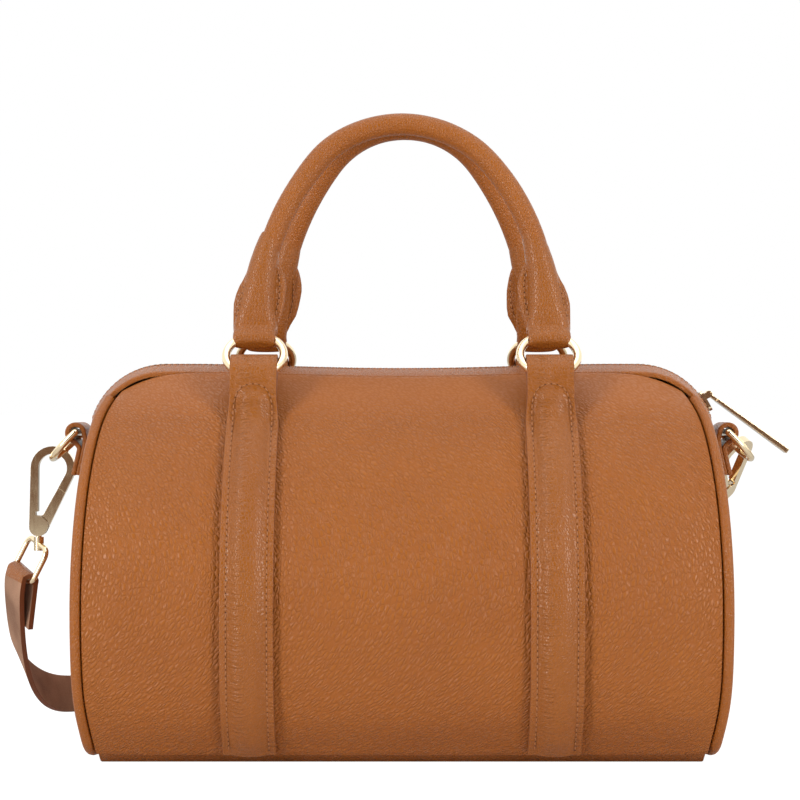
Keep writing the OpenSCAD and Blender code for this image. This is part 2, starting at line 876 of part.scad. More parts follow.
// End ring: a straight bar in the tab, two short legs and a half round
module right_d_ring() {
    color(metal_colour)
        translate([d_x, 0, d_z])
            rotate([0, d_slope, 0])
                union() {
                    rotate([90, 0, 0]) cylinder(d = d_wire, h = 2 * d_r, center = true);
                    for (side = [-1, 1])
                        translate([0, side * d_r, 0]) {
                            sphere(d = d_wire);
                            rotate([0, 90, 0]) cylinder(d = d_wire, h = d_leg);
                        }
                    translate([d_leg, 0, 0])
                        rotate(-90) rotate_extrude(angle = 180) translate([d_r, 0]) circle(d = d_wire);
                }
}

module left_d_ring() {
    mirror([1, 0, 0]) right_d_ring();
}

// Outline round two circles of different size
function two_circles(a, ra, b, rb, steps = 16) =
    let (
        d = b - a,
        dir = atan2(d[1], d[0]),
        open = acos((ra - rb) / norm(d))
    )
    concat(
        [for (k = [0:steps]) let (g = dir + open + (360 - 2 * open) * k / steps) a + ra * [cos(g), sin(g)]],
        [for (k = [0:steps]) let (g = dir - open + 2 * open * k / steps) b + rb * [cos(g), sin(g)]]
    );

// Stands an outline in the plane of the hook, with a thickness
module hook_plate(thick) {
    rotate([90, 0, 0]) linear_extrude(height = thick, center = true) children();
}

module hook_frame() {
    difference() {
        polygon(two_circles(boss_at, boss_r, arch_at, arch_out_r));
        polygon(two_circles(mouth_at, mouth_r, arch_at, arch_out_r - hook_wall));
    }
}

// The side of the hook where the gate is, between two distances from its pin
module gate_zone(from, to, start = wedge_from) {
    far = 2 * gate_reach;
    intersection() {
        difference() {
            circle(r = to);
            circle(r = from);
        }
        polygon([[0, 0], far * [sin(start), cos(start)], [far, far], [far, 0]]);
    }
}

module hook_body() {
    difference() {
        hook_plate(hook_t) hook_frame();
        hook_plate(hook_t + overrun) gate_zone(gate_root - gate_slot, gate_reach + gate_slot);
        hook_plate(hook_t + overrun)
            gate_zone(
                gate_root - gate_slot, norm(mouth_at) + gate_slot, wedge_from - gate_swing - gate_ease
            );
        hook_plate(tongue_t + 2 * gate_slot) circle(r = gate_root - gate_slot + run_gap);
        rotate([90, 0, 0]) cylinder(r = gate_pin_r, h = hook_t + overrun, center = true);
        translate([stem_x, 0, -boss_r - overrun])
            cylinder(r = stem_r + run_gap, h = stem_len + overrun - seat);
    }
}

function tongue_corner(turn) =
    (gate_root + overrun) * [sin(wedge_from + turn), cos(wedge_from + turn)];

module gate() {
    difference() {
        union() {
            intersection() {
                hook_plate(gate_t) hook_frame();
                hook_plate(hook_t) gate_zone(gate_root, gate_reach);
            }
            intersection() {
                hook_plate(tongue_t)
                    union() {
                        circle(r = 2 * gate_pin_r + gate_slot);
                        polygon([
                            [-gate_pin_r, 0], [gate_pin_r, -gate_pin_r],
                            tongue_corner(tongue_turns[1]), tongue_corner(tongue_turns[0])
                        ]);
                    }
                hook_plate(hook_t) polygon(two_circles(boss_at, boss_r - gate_slot, arch_at, arch_out_r));
            }
        }
        rotate([90, 0, 0]) cylinder(r = gate_pin_r + run_gap, h = hook_t + overrun, center = true);
    }
}

module gate_pin() {
    rotate([90, 0, 0]) cylinder(r = gate_pin_r, h = hook_t, center = true);
}

// Ring at the end of the shoulder strap, on the swivel that the hook turns on
module strap_ring(link_turn, link_spin) {
    eye_z = -boss_r - seat - eye_len / 2;
    side = link_w / 2 - link_corner;
    drop = link_h - 2 * link_corner;
    translate([stem_x, 0, 0]) {
        translate([0, 0, -boss_r - seat]) cylinder(r = stem_r, h = stem_len);
        translate([0, 0, -boss_r - seat - eye_len]) cylinder(r = stem_r + eye_wall, h = eye_len);
        translate([0, 0, eye_z]) rotate(link_turn) rotate(link_spin)
            translate([0, 0, -link_h]) {
                rotate([0, 90, 0]) cylinder(d = link_wire, h = 2 * side, center = true);
                translate([0, 0, link_h])
                    rotate([0, 90, 0]) cylinder(d = link_wire, h = 2 * side, center = true);
                for (flip = [0, 1])
                    mirror([flip, 0, 0]) {
                        translate([link_w / 2, 0, link_corner]) cylinder(d = link_wire, h = drop);
                        for (top = [0, 1])
                            translate([side, 0, top ? link_h - link_corner : link_corner])
                                rotate([90, 0, 0])
                                    rotate(top ? 0 : -90)
                                        rotate_extrude(angle = 90)
                                            translate([link_corner, 0]) circle(d = link_wire);
                    }
            }
    }
}

module at_left_hook() {
    translate(left_hook_pos) rotate(left_hook_turn) children();
}

module at_right_hook() {
    translate(right_hook_pos) rotate(right_hook_turn) children();
}

module left_hook() {
    color(metal_colour) at_left_hook() hook_body();
}

module right_hook() {
    color(metal_colour) at_right_hook() hook_body();
}

module left_gate() {
    color(metal_colour) at_left_hook() gate();
}

module right_gate() {
    color(metal_colour) at_right_hook() gate();
}

module left_gate_pin() {
    color(metal_colour) at_left_hook() gate_pin();
}

module right_gate_pin() {
    color(metal_colour) at_right_hook() gate_pin();
}

module left_strap_ring() {
    color(metal_colour) at_left_hook() strap_ring(left_link_turn, left_link_spin);
}

module right_strap_ring() {
    color(metal_colour) at_right_hook() strap_ring(right_link_turn, right_link_spin);
}

// Lining: a bag of cloth inside the panels, open at the top under the zip
lining_t = 0.8;
lining_rows = 9;
lining_sides = 24;
lining_start = 0.12;
lining_play = 2.2;
lining_inset = leather_t + lining_play;
lining_end = 0.93;
lining_square = 0.45;
lining_floor_shares = [0.96, 0.85];
lining_foot = leather_t + board_t + 2 * seat;
function profile_normal(t) =
    let (
        a = spline(profile, max(0, t - 1 / panel_rows)),
        b = spline(profile, min(1, t + 1 / panel_rows))
    )
    unit([a[1] - b[1], b[0] - a[0]]);
function square_round(k) = sign(k) * pow(abs(k), lining_square);
function lining_ring(t, inset) =
    let (
        n = profile_normal(t),
        p = spline(profile, t) - inset * n,
        half_x = half_width(t) - inset,
        z = max(p[1], lining_foot + (inset - lining_inset))
    )
    [for (k = [0:lining_sides - 1])
        let (a = 360 * (k + 0.5) / lining_sides)
        [half_x * square_round(cos(a)), p[0] * square_round(sin(a)), z]];
function lining_t_at(i) = lining_start + (lining_end - lining_start) * i / lining_rows;
function lining_floor(ring, z) =
    [for (p = ring) [p[0] * lining_floor_shares[0], p[1] * lining_floor_shares[1], z]];

module lining() {
    outer = [for (i = [0:lining_rows]) lining_ring(lining_t_at(i), lining_inset)];
    inner = [for (i = [0:lining_rows]) lining_ring(lining_t_at(i), lining_inset + lining_t)];
    floor_outer = lining_floor(outer[lining_rows], lining_foot);
    floor_inner = lining_floor(inner[lining_rows], lining_foot + lining_t);
    rings = concat(
        [floor_outer],
        [for (i = [lining_rows:-1:0]) outer[i]],
        [for (i = [0:lining_rows]) inner[i]],
        [floor_inner]
    );
    color("linen") loft(rings);
}

board_play = 1.8;
module base_board() {
    length = 2 * (half_width(1) - board_play) - base_lip;
    width = base_flat - base_lip;
    color("dimgray")
        translate([0, 0, leather_t + seat + board_t / 2])
            rounded_plate(length, width, board_t, base_lip);
}

// Shoulder strap: folded round the left ring, down to the table, laid on its edge in an S
// behind the bag and up to the right ring. Each station is a place and the direction
// across the strap.
fold_steps = 5;
fold_gap = 0.8;
link_r = link_wire / 2 + fold_gap + sling_t / 2;
function link_bar(hook_pos, hook_turn, link_turn) =
    hook_pos + turned(hook_turn,
        [stem_x, 0, -boss_r - seat - eye_len / 2] + turned(link_turn, [0, 0, -link_h]));
function fold_stations(hook_pos, hook_turn, link_turn, link_spin, hang, front) =
    let (
        bar = link_bar(hook_pos, hook_turn, link_turn),
        across = turned(hook_turn, turned(link_turn, about_z(link_spin, [1, 0, 0]))),
        up = turned(hook_turn, turned(link_turn, [0, 0, 1])),
        side = cross(across, up) * front,
        down = unit(hang - (hang * across) * across)
    )
    concat(
        [[bar - side * link_r + down * tail, across], [bar - side * link_r + down * tail / 2, across]],
        [for (k = [0:fold_steps])
            let (a = 180 * k / fold_steps)
            [bar + link_r * (up * sin(a) - side * cos(a)), across]],
        [[bar + side * link_r + down * tail / 2, across]]
    );

lay_gap = 0.1;
lay = sling_w / 2 + lay_gap;
lay_lift = 2;
lift = lay + lay_lift;
tail = 22;
run_clear = 31.5;
run_pitch = 34;
run_end = 100;
run_near = body_d / 2 + run_clear;
run_mid = run_near + run_pitch;
run_far = run_mid + run_pitch;
left_fold = fold_stations(
    left_hook_pos, left_hook_turn, left_link_turn, left_link_spin, left_hang, 1);
right_fold = fold_stations(
    right_hook_pos, right_hook_turn, right_link_turn, right_link_spin, right_hang, -1);
right_back = [for (i = [len(right_fold) - 1:-1:0]) right_fold[i]];

// On the way down and up again: how far beyond the band's end, how far behind the nearest
// run, and how high, with the direction across the strap
left_way = [
    [[37, -92, 40], [0.45, -0.86, -0.24]],
    [[34, -74, 23], [0.25, -0.8, -0.55]],
    [[27, -52, 12.5], [0.1, -0.5, -0.86]],
    [[13, -28, lay], [0, -0.1, -1]],
    [[-13, -9, lay], [0, 0, -1]]
];
right_way = [
    [[-3, 46, lift], [0, -0.1, -1]],
    [[15, 12, 28], [0, -0.6, -0.8]],
    [[15, -22, 54], [0, -0.72, -0.69]]
];
function way(side, list) =
    [for (w = list) [[side * (band_end_x + w[0][0]), run_near + w[0][1], w[0][2]], w[1]]];

// On the table: share of the half run, and the run's place
laid_runs = [
    [-1, run_near], [-1 / 3, run_near], [1 / 3, run_near], [0.8, run_near],
    [1, run_near + run_pitch / 2],
    [0.8, run_mid], [1 / 3, run_mid], [-1 / 3, run_mid], [-0.8, run_mid],
    [-1, run_mid + run_pitch / 2],
    [-0.8, run_far], [-1 / 3, run_far], [1 / 3, run_far], [1, run_far]
];
laid = [for (r = laid_runs) [[r[0] * run_end, r[1], lay], [0, 0, -1]]];
stations = concat(left_fold, way(-1, left_way), laid, way(1, right_way), right_back);
sling_steps = 3;
sling_count = sling_steps * (len(stations) - 1);
sling_places = [for (s = stations) s[0]];
sling_across = [for (s = stations) s[1]];

function sling_ring(i) =
    let (
        t = i / sling_count,
        step = 1 / sling_count / 4,
        p = spline(sling_places, t),
        along = unit(spline(sling_places, min(1, t + step)) - spline(sling_places, max(0, t - step))),
        w = spline(sling_across, t),
        across = unit(w - (w * along) * along),
        n = cross(along, across)
    )
    [for (k = [[-1, -1], [1, -1], [1, 1], [-1, 1]])
        p + k[0] * across * sling_w / 2 + k[1] * n * sling_t / 2];

module shoulder_strap() {
    color(edge_colour) loft([for (i = [0:sling_count]) sling_ring(i)]);
}

front_panel();
back_panel();
base_panel();
left_end_panel();
right_end_panel();
left_piping();
right_piping();
lining();
base_board();
zip_facing_front();
zip_facing_back();
zip_tape_front();
zip_tape_back();
zip_teeth_front();
zip_teeth_back();
zip_stops();
zip_slider();
zip_puller();
front_left_strap();
front_right_strap();
back_left_strap();
back_right_strap();
front_strap_loops();
back_strap_loops();
front_left_ring();
front_right_ring();
back_left_ring();
back_right_ring();
front_handle();
back_handle();
front_handle_core();
back_handle_core();
front_handle_tabs();
back_handle_tabs();
left_d_ring_tab();
right_d_ring_tab();
left_d_ring();
right_d_ring();
left_hook();
right_hook();
left_gate();
right_gate();
left_gate_pin();
right_gate_pin();
left_strap_ring();
right_strap_ring();
shoulder_strap();
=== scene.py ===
"""Barrel bag: leather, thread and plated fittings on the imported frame."""
import json
import math
from contextlib import contextmanager
import bpy
from bpy.props import FloatProperty, FloatVectorProperty, PointerProperty
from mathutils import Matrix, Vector
from mathutils.bvhtree import BVHTree

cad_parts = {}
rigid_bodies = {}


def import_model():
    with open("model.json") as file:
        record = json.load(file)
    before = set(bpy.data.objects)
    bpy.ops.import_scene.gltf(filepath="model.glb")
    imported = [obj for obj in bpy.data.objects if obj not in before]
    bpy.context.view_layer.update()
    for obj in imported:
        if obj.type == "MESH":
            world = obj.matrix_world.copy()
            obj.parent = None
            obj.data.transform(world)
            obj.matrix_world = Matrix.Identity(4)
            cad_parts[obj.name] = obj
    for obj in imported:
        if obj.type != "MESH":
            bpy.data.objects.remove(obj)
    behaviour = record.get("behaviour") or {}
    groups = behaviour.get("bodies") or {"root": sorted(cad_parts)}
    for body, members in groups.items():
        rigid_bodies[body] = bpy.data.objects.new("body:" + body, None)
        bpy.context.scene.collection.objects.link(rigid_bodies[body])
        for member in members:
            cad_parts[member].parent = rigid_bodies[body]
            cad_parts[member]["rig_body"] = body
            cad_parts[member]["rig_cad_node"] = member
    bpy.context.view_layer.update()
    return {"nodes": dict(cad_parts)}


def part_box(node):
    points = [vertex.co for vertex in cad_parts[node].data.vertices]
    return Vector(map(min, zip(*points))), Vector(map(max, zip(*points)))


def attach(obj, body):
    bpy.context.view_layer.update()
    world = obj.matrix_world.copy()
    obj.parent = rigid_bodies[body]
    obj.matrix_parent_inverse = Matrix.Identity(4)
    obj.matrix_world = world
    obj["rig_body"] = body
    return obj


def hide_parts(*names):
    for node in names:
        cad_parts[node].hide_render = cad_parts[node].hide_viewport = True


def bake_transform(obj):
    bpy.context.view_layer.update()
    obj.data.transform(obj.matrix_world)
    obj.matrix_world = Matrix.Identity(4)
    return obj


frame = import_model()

bl_info = {
    "name": "Barrel bag",
    "version": (1, 0, 0),
    "blender": (4, 5, 0),
    "location": "3D View > Sidebar > Barrel bag",
    "description": "Grained leather, padded straps, rolled handles and plated fittings for a barrel bag",
    "category": "Object",
}

PANEL_LOW, PANEL_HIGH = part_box("front_panel")
STRAP_LOW, STRAP_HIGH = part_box("front_right_strap")
STRAP_X = (STRAP_LOW.x + STRAP_HIGH.x) / 2
RING_LOW, RING_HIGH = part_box("front_right_ring")
RING_AT = (RING_LOW + RING_HIGH) / 2
RING_TUBE = 0.0019
SIDES = (("front", -1), ("back", 1))
ENDS = (("left", -1), ("right", 1))
DIAGONAL = math.sqrt(0.5)

# The panels' bulge is pushed out from this height
BELLY = 0.085
# Pebbles lie along lines that bow sideways over the height of the bag
GRAIN_HEIGHT = 0.17
GRAIN_BOW = 9.0
# A strap's padding takes this share of its half width
PAD_SHARE = 0.68
# Stitches lie this far off the leather
THREAD_LIFT = 0.0001
# The zip band is straight as far as this, and its ends are turned down by this angle
BAND_CORNER = 0.109
BAND_TURN = 73
# A handle's foot leaves its ring this far up the slope, and leans in from there
FOOT_RUN = 0.017
LEAN = math.radians(10)
# Where the hollow of its fold ends along the slope, and the rounding of those ends
SLOT_ENDS = ((0.0151, 1), (0.0069, -1))
SLOT_ROUND = 0.0024
# The camera's place and lens, as the photo was taken
CAMERA_AT = (-0.00084, -0.874, 0.158)
LENS = 84.6
# Width of the shoulder strap, and the height where its folded end shows the grain side
SLING_WIDE = 0.018
SLING_FOLD = 0.075


def colour_property(name, description, default):
    return FloatVectorProperty(
        name=name, description=description, default=default, size=3, min=0, max=1, subtype="COLOR"
    )


def length_property(name, description, default):
    return FloatProperty(
        name=name, description=description, default=default, min=0, precision=5, unit="LENGTH"
    )


class BagSizes(bpy.types.PropertyGroup):
    pebble: length_property("Pebble", "Size of one pebble of the grain", 0.0017)
    fine_pebble: length_property("Fine pebble", "Size of a pebble on stretched leather", 0.0012)
    stitch_pitch: length_property("Stitch pitch", "From one stitch to the next", 0.0027)
    stitch_length: length_property("Stitch length", "Visible length of a stitch", 0.0021)
    thread: length_property("Thread", "Diameter of the sewing thread", 0.0006)
    strap_leather: length_property("Strap leather", "Thickness of the strap leather", 0.0018)
    strap_pad: length_property("Strap padding", "Height of the padded middle of a strap", 0.003)
    strap_width: length_property("Strap width", "Width of a strap on the panel", 0.023)
    loop_width: length_property("Loop width", "Width of a strap in its ring", 0.021)
    edge_round: length_property("Edge rounding", "Rounding of cut leather edges", 0.0005)
    metal_round: length_property("Metal rounding", "Rounding of the fittings' edges", 0.0004)
    puff: length_property("Puff", "How far the panels stand proud of their seams", 0.0034)
    facing_round: length_property("Facing rounding", "Rounding of the zip facings' edges", 0.0008)


class BagColours(bpy.types.PropertyGroup):
    hide: colour_property("Hide", "Colour of the grained leather", (0.385, 0.112, 0.009))
    # The deep hide colour is painted shade, mixed into the creases of the grain
    hide_crease_shade: colour_property("Crease shade of the hide", "Colour in the creases of the grain", (0.26, 0.066, 0.007))
    strap: colour_property("Strap hide", "Colour of the smooth straps", (0.35, 0.106, 0.0115))
    edge: colour_property("Cut edge", "Colour of the painted edges", (0.2, 0.062, 0.022))
    suede: colour_property("Suede", "Colour of the strap's inner face", (0.62, 0.35, 0.22))
    thread: colour_property("Thread", "Colour of the sewing thread", (0.5, 0.2, 0.07))
    plating: colour_property("Plating", "Colour of the gold plating", (0.93, 0.76, 0.5))
    tape: colour_property("Zip tape", "Colour of the zip's tape", (0.24, 0.1, 0.04))
    lining: colour_property("Lining", "Colour of the lining cloth", (0.55, 0.44, 0.32))


def sizes():
    return bpy.context.scene.bag_sizes


def colours():
    return bpy.context.scene.bag_colours


# Selection and modelling helpers


def let_go():
    if bpy.context.object and bpy.context.object.mode != "OBJECT":
        bpy.ops.object.mode_set(mode="OBJECT")
    bpy.ops.object.select_all(action="DESELECT")


def pick(obj):
    let_go()
    obj.select_set(True)
    bpy.context.view_layer.objects.active = obj


@contextmanager
def edited(obj):
    """Edit mode with the whole of a piece selected."""
    pick(obj)
    bpy.ops.object.mode_set(mode="EDIT")
    bpy.ops.mesh.select_all(action="SELECT")
    yield
    bpy.ops.object.mode_set(mode="OBJECT")


def finish_with(obj, kind, **settings):
    """Adds a modifier and applies it."""
    pick(obj)
    bpy.ops.object.modifier_add(type=kind)
    modifier = obj.modifiers[-1]
    for key, value in settings.items():
        setattr(modifier, key, value)
    bpy.ops.object.modifier_apply(modifier=modifier.name)


def rounded(obj, width, sharper, segments=2):
    """Rounds the edges that are sharper than an angle."""
    finish_with(
        obj, "BEVEL", width=width, segments=segments, limit_method="ANGLE",
        angle_limit=math.radians(sharper),
    )


def smooth(obj, angle=40):
    pick(obj)
    bpy.ops.object.shade_smooth_by_angle(angle=math.radians(angle))


def named(obj, name):
    obj.name = obj.data.name = name
    return obj


def copy_of(node_name, name, quads=True):
    """A merged copy of a CAD node's mesh, ready to be worked on."""
    pick(frame["nodes"][node_name])
    bpy.ops.object.duplicate()
    obj = named(bpy.context.object, name)
    bpy.ops.object.parent_clear(type="CLEAR_KEEP_TRANSFORM")
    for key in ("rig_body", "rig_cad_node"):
        if key in obj:
            del obj[key]
    obj.data.materials.clear()
    bpy.ops.mesh.customdata_custom_splitnormals_clear()
    with edited(obj):
        bpy.ops.mesh.remove_doubles(threshold=1e-5)
        if quads:
            bpy.ops.mesh.tris_convert_to_quads(
                face_threshold=math.radians(40), shape_threshold=math.radians(70)
            )
    return obj


def crease_sharp(obj, angle):
    """Keeps the edges that are sharper than an angle through a subdivision."""
    with edited(obj):
        bpy.ops.mesh.select_mode(type="EDGE")
        bpy.ops.mesh.select_all(action="DESELECT")
        bpy.ops.mesh.edges_select_sharp(sharpness=math.radians(angle))
        bpy.ops.transform.edge_crease(value=1)
        bpy.ops.mesh.select_mode(type="VERT")


def soft_shell(node_name, name, levels=2, crease_angle=50, rounding=None):
    """A panel of leather: the CAD sheet with its coarse facets smoothed and its edges rounded."""
    obj = copy_of(node_name, name)
    crease_sharp(obj, crease_angle)
    finish_with(obj, "SUBSURF", levels=levels, render_levels=levels)
    rounded(obj, rounding or sizes().edge_round, 50)
    smooth(obj, 50)
    return obj


def folded_leather(obj, voxel, rounds):
    """Turns a built-up solid into one soft folded piece."""
    obj.data.remesh_voxel_size = voxel
    obj.data.remesh_voxel_adaptivity = 0
    pick(obj)
    bpy.ops.object.voxel_remesh()
    finish_with(obj, "SMOOTH", factor=0.5, iterations=rounds)
    pick(obj)
    bpy.ops.object.shade_smooth()
    return obj


def dress(obj, body, material, stands_for):
    """Gives a finished piece its material, the node it stands for and its body."""
    obj.data.materials.clear()
    obj.data.materials.append(material)
    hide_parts(stands_for)
    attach(obj, body)


def grid_piece(name, rows):
    """A sheet of rows of points, made from a grid that is moved into place."""
    let_go()
    width = len(rows[0])
    bpy.ops.mesh.primitive_grid_add(x_subdivisions=width - 1, y_subdivisions=len(rows) - 1, size=1)
    obj = named(bpy.context.object, name)
    for i, row in enumerate(rows):
        for j, point in enumerate(row):
            obj.data.vertices[i * width + j].co = point
    obj.data.update()
    return obj


def loft_piece(name, rings):
    """A closed solid through rings of points."""
    obj = grid_piece(name, [[*ring, ring[0]] for ring in rings])
    with edited(obj):
        bpy.ops.mesh.remove_doubles(threshold=1e-6)
        bpy.ops.mesh.fill_holes(sides=0)
        bpy.ops.mesh.normals_make_consistent(inside=False)
    return obj


def joined(objects):
    pick(objects[0])
    for obj in objects[1:]:
        obj.select_set(True)
    if len(objects) > 1:
        bpy.ops.object.join()
    return objects[0]


def eased(t):
    """A soft step from 0 to 1."""
    t = max(0.0, min(1.0, t))
    return t * t * (3 - 2 * t)


def length_of(points):
    return sum((b - a).length for a, b in zip(points, points[1:]))


def along(points, step):
    """The same open line with points at an even step."""
    runs = [0.0]
    for a, b in zip(points, points[1:]):
        runs.append(runs[-1] + (b - a).length)
    count = max(2, round(runs[-1] / step))
    result, k = [], 0
    for i in range(count + 1):
        run = runs[-1] * i / count
        while k < len(points) - 2 and runs[k + 1] < run:
            k += 1
        share = (run - runs[k]) / max(1e-9, runs[k + 1] - runs[k])
        result.append(points[k].lerp(points[k + 1], share))
    return result


def relaxed(points, rounds):
    """The same line with its corners softened and its ends kept."""
    for _ in range(rounds):
        points = [points[0]] + [
            (a + 2 * b + c) / 4 for a, b, c in zip(points, points[1:], points[2:])
        ] + [points[-1]]
    return points


def tree_of(objects):
    """A search tree over the surfaces of some finished pieces."""
    vertices, faces = [], []
    for obj in objects:
        start = len(vertices)
        vertices += [v.co.copy() for v in obj.data.vertices]
        faces += [tuple(start + k for k in p.vertices) for p in obj.data.polygons]
    return BVHTree.FromPolygons(vertices, faces)


def landings(tree, rays):
    """Where rays, each a start and a direction, meet a surface: points a hair off it."""
    points = []
    for start, way in rays:
        hit = tree.ray_cast(start, way)[0]
        if hit is not None:
            points.append(hit - way * THREAD_LIFT)
    return points


def bead(x, radius, rings, stretch, material):
    """A small ball round a place on the X axis, drawn out along that axis."""
    let_go()
    bpy.ops.mesh.primitive_uv_sphere_add(segments=6, ring_count=rings, radius=radius, location=(x, 0, 0))
    ball = bpy.context.object
    bpy.ops.object.transform_apply(location=True, rotation=False, scale=False)
    for v in ball.data.vertices:
        v.co.x = x + (v.co.x - x) * stretch
    ball.data.materials.append(material)
    return ball


def sewn_row(line):
    """One stitch and a dark bead of painted shade for its needle hole, repeated along a line."""
    size = sizes()
    length, pitch, radius = size.stitch_length, size.stitch_pitch, size.thread / 2
    # The second bead is painted shade where the thread goes into the leather
    stitch = joined([
        bead(length / 2, radius, 5, length / size.thread, thread_material()),
        bead((length + pitch) / 2, radius, 3, 1, hole_shade_material()),
    ])
    path = bpy.data.meshes.new("stitch_line")
    path.from_pydata([tuple(p) for p in line], [(k, k + 1) for k in range(len(line) - 1)], [])
    guide = bpy.data.objects.new("stitch_line", path)
    bpy.context.scene.collection.objects.link(guide)
    pick(guide)
    bpy.ops.object.convert(target="CURVE")
    guide = bpy.context.object
    finish_with(
        stitch, "ARRAY", count=max(1, round(length_of(line) / pitch)), use_relative_offset=False,
        use_constant_offset=True, constant_offset_displace=(pitch, 0, 0),
    )
    finish_with(stitch, "CURVE", object=guide, deform_axis="POS_X")
    bpy.data.objects.remove(guide)
    return stitch


def sew(name, lines, body):
    """Rows of stitches along lines that lie on the leather."""
    obj = named(joined([sewn_row(line) for line in lines]), name)
    pick(obj)
    bpy.ops.object.shade_smooth()
    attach(obj, body)


# Material helpers


def wire(made, sockets):
    """Gives a node's sockets plain values or links them to the outputs that feed them."""
    for key, value in sockets.items():
        if isinstance(value, bpy.types.NodeSocket):
            made.id_data.links.new(value, made.inputs[key])
        else:
            made.inputs[key].default_value = value


def node(tree, kind, sockets=None, **settings):
    """Adds a shader node with its settings and sockets."""
    made = tree.nodes.new(kind)
    for key, value in settings.items():
        setattr(made, key, value)
    wire(made, sockets or {})
    return made


def calc(tree, operation, *terms, clamp=False):
    """The result of a sum."""
    return node(
        tree, "ShaderNodeMath", dict(enumerate(terms)), operation=operation, use_clamp=clamp
    ).outputs[0]


def remap(tree, value, start, end, low=0, high=1, soft=False):
    """A value carried over from one range to another."""
    sockets = {"Value": value, "From Min": start, "From Max": end, "To Min": low, "To Max": high}
    kind = "SMOOTHSTEP" if soft else "LINEAR"
    return node(tree, "ShaderNodeMapRange", sockets, interpolation_type=kind).outputs[0]


def noise(tree, place, scale, detail=2.0):
    return node(tree, "ShaderNodeTexNoise", {"Vector": place, "Scale": scale, "Detail": detail}).outputs


def squeezed(tree, place, scale):
    return node(tree, "ShaderNodeMapping", {"Vector": place, "Scale": scale}).outputs[0]


def parted(tree, place):
    return node(tree, "ShaderNodeSeparateXYZ", {0: place}).outputs


def gathered(tree, x, y, z=0):
    """A vector put together from its three values."""
    return node(tree, "ShaderNodeCombineXYZ", {"X": x, "Y": y, "Z": z}).outputs[0]


def mixed(tree, share, first, second):
    """A colour between two."""
    sockets = {0: share, 6: first, 7: second}
    return node(tree, "ShaderNodeMix", sockets, data_type="RGBA").outputs[2]


def opaque(colour, dim=1):
    return (*(dim * c for c in colour), 1)


def group(name, inputs, outputs):
    """A new node group: its tree, what it is given and what it gives."""
    tree = bpy.data.node_groups.new(name, "ShaderNodeTree")
    for label, kind, default in inputs:
        socket = tree.interface.new_socket(label, in_out="INPUT", socket_type=kind)
        if default is not None:
            socket.default_value = default
    for label, kind in outputs:
        tree.interface.new_socket(label, in_out="OUTPUT", socket_type=kind)
    return tree, tree.nodes.new("NodeGroupInput").outputs, tree.nodes.new("NodeGroupOutput")


def plain_material(name):
    """A new material, its node tree, its shader and the place of a point on the piece."""
    material = bpy.data.materials.new(name)
    material.use_nodes = True
    tree = material.node_tree
    place = tree.nodes.new("ShaderNodeTexCoord").outputs["Object"]
    return material, tree, tree.nodes["Principled BSDF"], place


# Materials


def pebble_group():
    """Pebbles of a grained hide: drawn-out cells, creases between them and a fine skin on top."""
    name = "Pebbled hide"
    if found := bpy.data.node_groups.get(name):
        return found
    tree, given, gives = group(
        name,
        [("Vector", "NodeSocketVector", None), ("Cell", "NodeSocketFloat", 0.0016),
         ("Stretch", "NodeSocketFloat", 0.6), ("Crease", "NodeSocketFloat", 0.2)],
        [("Height", "NodeSocketFloat"), ("Creases", "NodeSocketFloat"), ("Patches", "NodeSocketFloat")],
    )
    x, y, z = parted(tree, given["Vector"])
    rise = remap(tree, z, 0, GRAIN_HEIGHT, -GRAIN_HEIGHT / 2, GRAIN_HEIGHT / 2)
    bowed = calc(tree, "MULTIPLY_ADD", calc(tree, "MULTIPLY", rise, rise), GRAIN_BOW, x)
    sized = node(
        tree, "ShaderNodeVectorMath",
        {0: gathered(tree, bowed, y, z), "Scale": calc(tree, "DIVIDE", 1, given["Cell"])}, operation="SCALE",
    ).outputs[0]
    x, y, z = parted(tree, sized)
    place = gathered(tree, x, y, calc(tree, "MULTIPLY", z, given["Stretch"]))
    wander = {0: noise(tree, place, 0.7)["Color"], 1: (0.32, 0.32, 0.32), 2: place}
    shifted = node(tree, "ShaderNodeVectorMath", wander, operation="MULTIPLY_ADD").outputs[0]
    cells = node(
        tree, "ShaderNodeTexVoronoi", {"Vector": shifted, "Scale": 1, "Smoothness": 0.35},
        feature="SMOOTH_F1",
    )
    edges = node(
        tree, "ShaderNodeTexVoronoi", {"Vector": shifted, "Scale": 1}, feature="DISTANCE_TO_EDGE"
    )
    creases = remap(tree, edges.outputs["Distance"], 0, given["Crease"], 1, 0, soft=True)
    dome = calc(tree, "MULTIPLY_ADD", cells.outputs["Distance"], -0.55, 1)
    cut = calc(tree, "MULTIPLY_ADD", creases, -0.5, dome)
    skin = noise(tree, place, 6, 3)["Fac"]
    wire(gives, {
        "Height": calc(tree, "MULTIPLY_ADD", skin, 0.05, cut),
        "Creases": creases,
        "Patches": noise(tree, given["Vector"], 28, 3)["Fac"],
    })
    return tree


def tone_with_shade_group():
    """Colour of a hide: darker in its creases as painted shade, and a little uneven from patch to patch."""
    name = "Hide tone with crease shade"
    if found := bpy.data.node_groups.get(name):
        return found
    tree, given, gives = group(
        name,
        [("Hide", "NodeSocketColor", (0.5, 0.2, 0.05, 1)), ("Deep", "NodeSocketColor", (0.2, 0.07, 0.02, 1)),
         ("Creases", "NodeSocketFloat", 0.0), ("Patches", "NodeSocketFloat", 0.5),
         ("Depth", "NodeSocketFloat", 0.3), ("Unevenness", "NodeSocketFloat", 0.15)],
        [("Color", "NodeSocketColor")],
    )
    # Painted shade: the creases are mixed towards the deep colour, as far as Depth says
    share = calc(tree, "MULTIPLY", given["Creases"], given["Depth"])
    uneven = remap(tree, given["Patches"], 0.35, 0.65)
    patch = calc(tree, "MULTIPLY", uneven, given["Unevenness"])
    total = calc(tree, "ADD", share, patch, clamp=True)
    wire(gives, {"Color": mixed(tree, total, given["Hide"], given["Deep"])})
    return tree


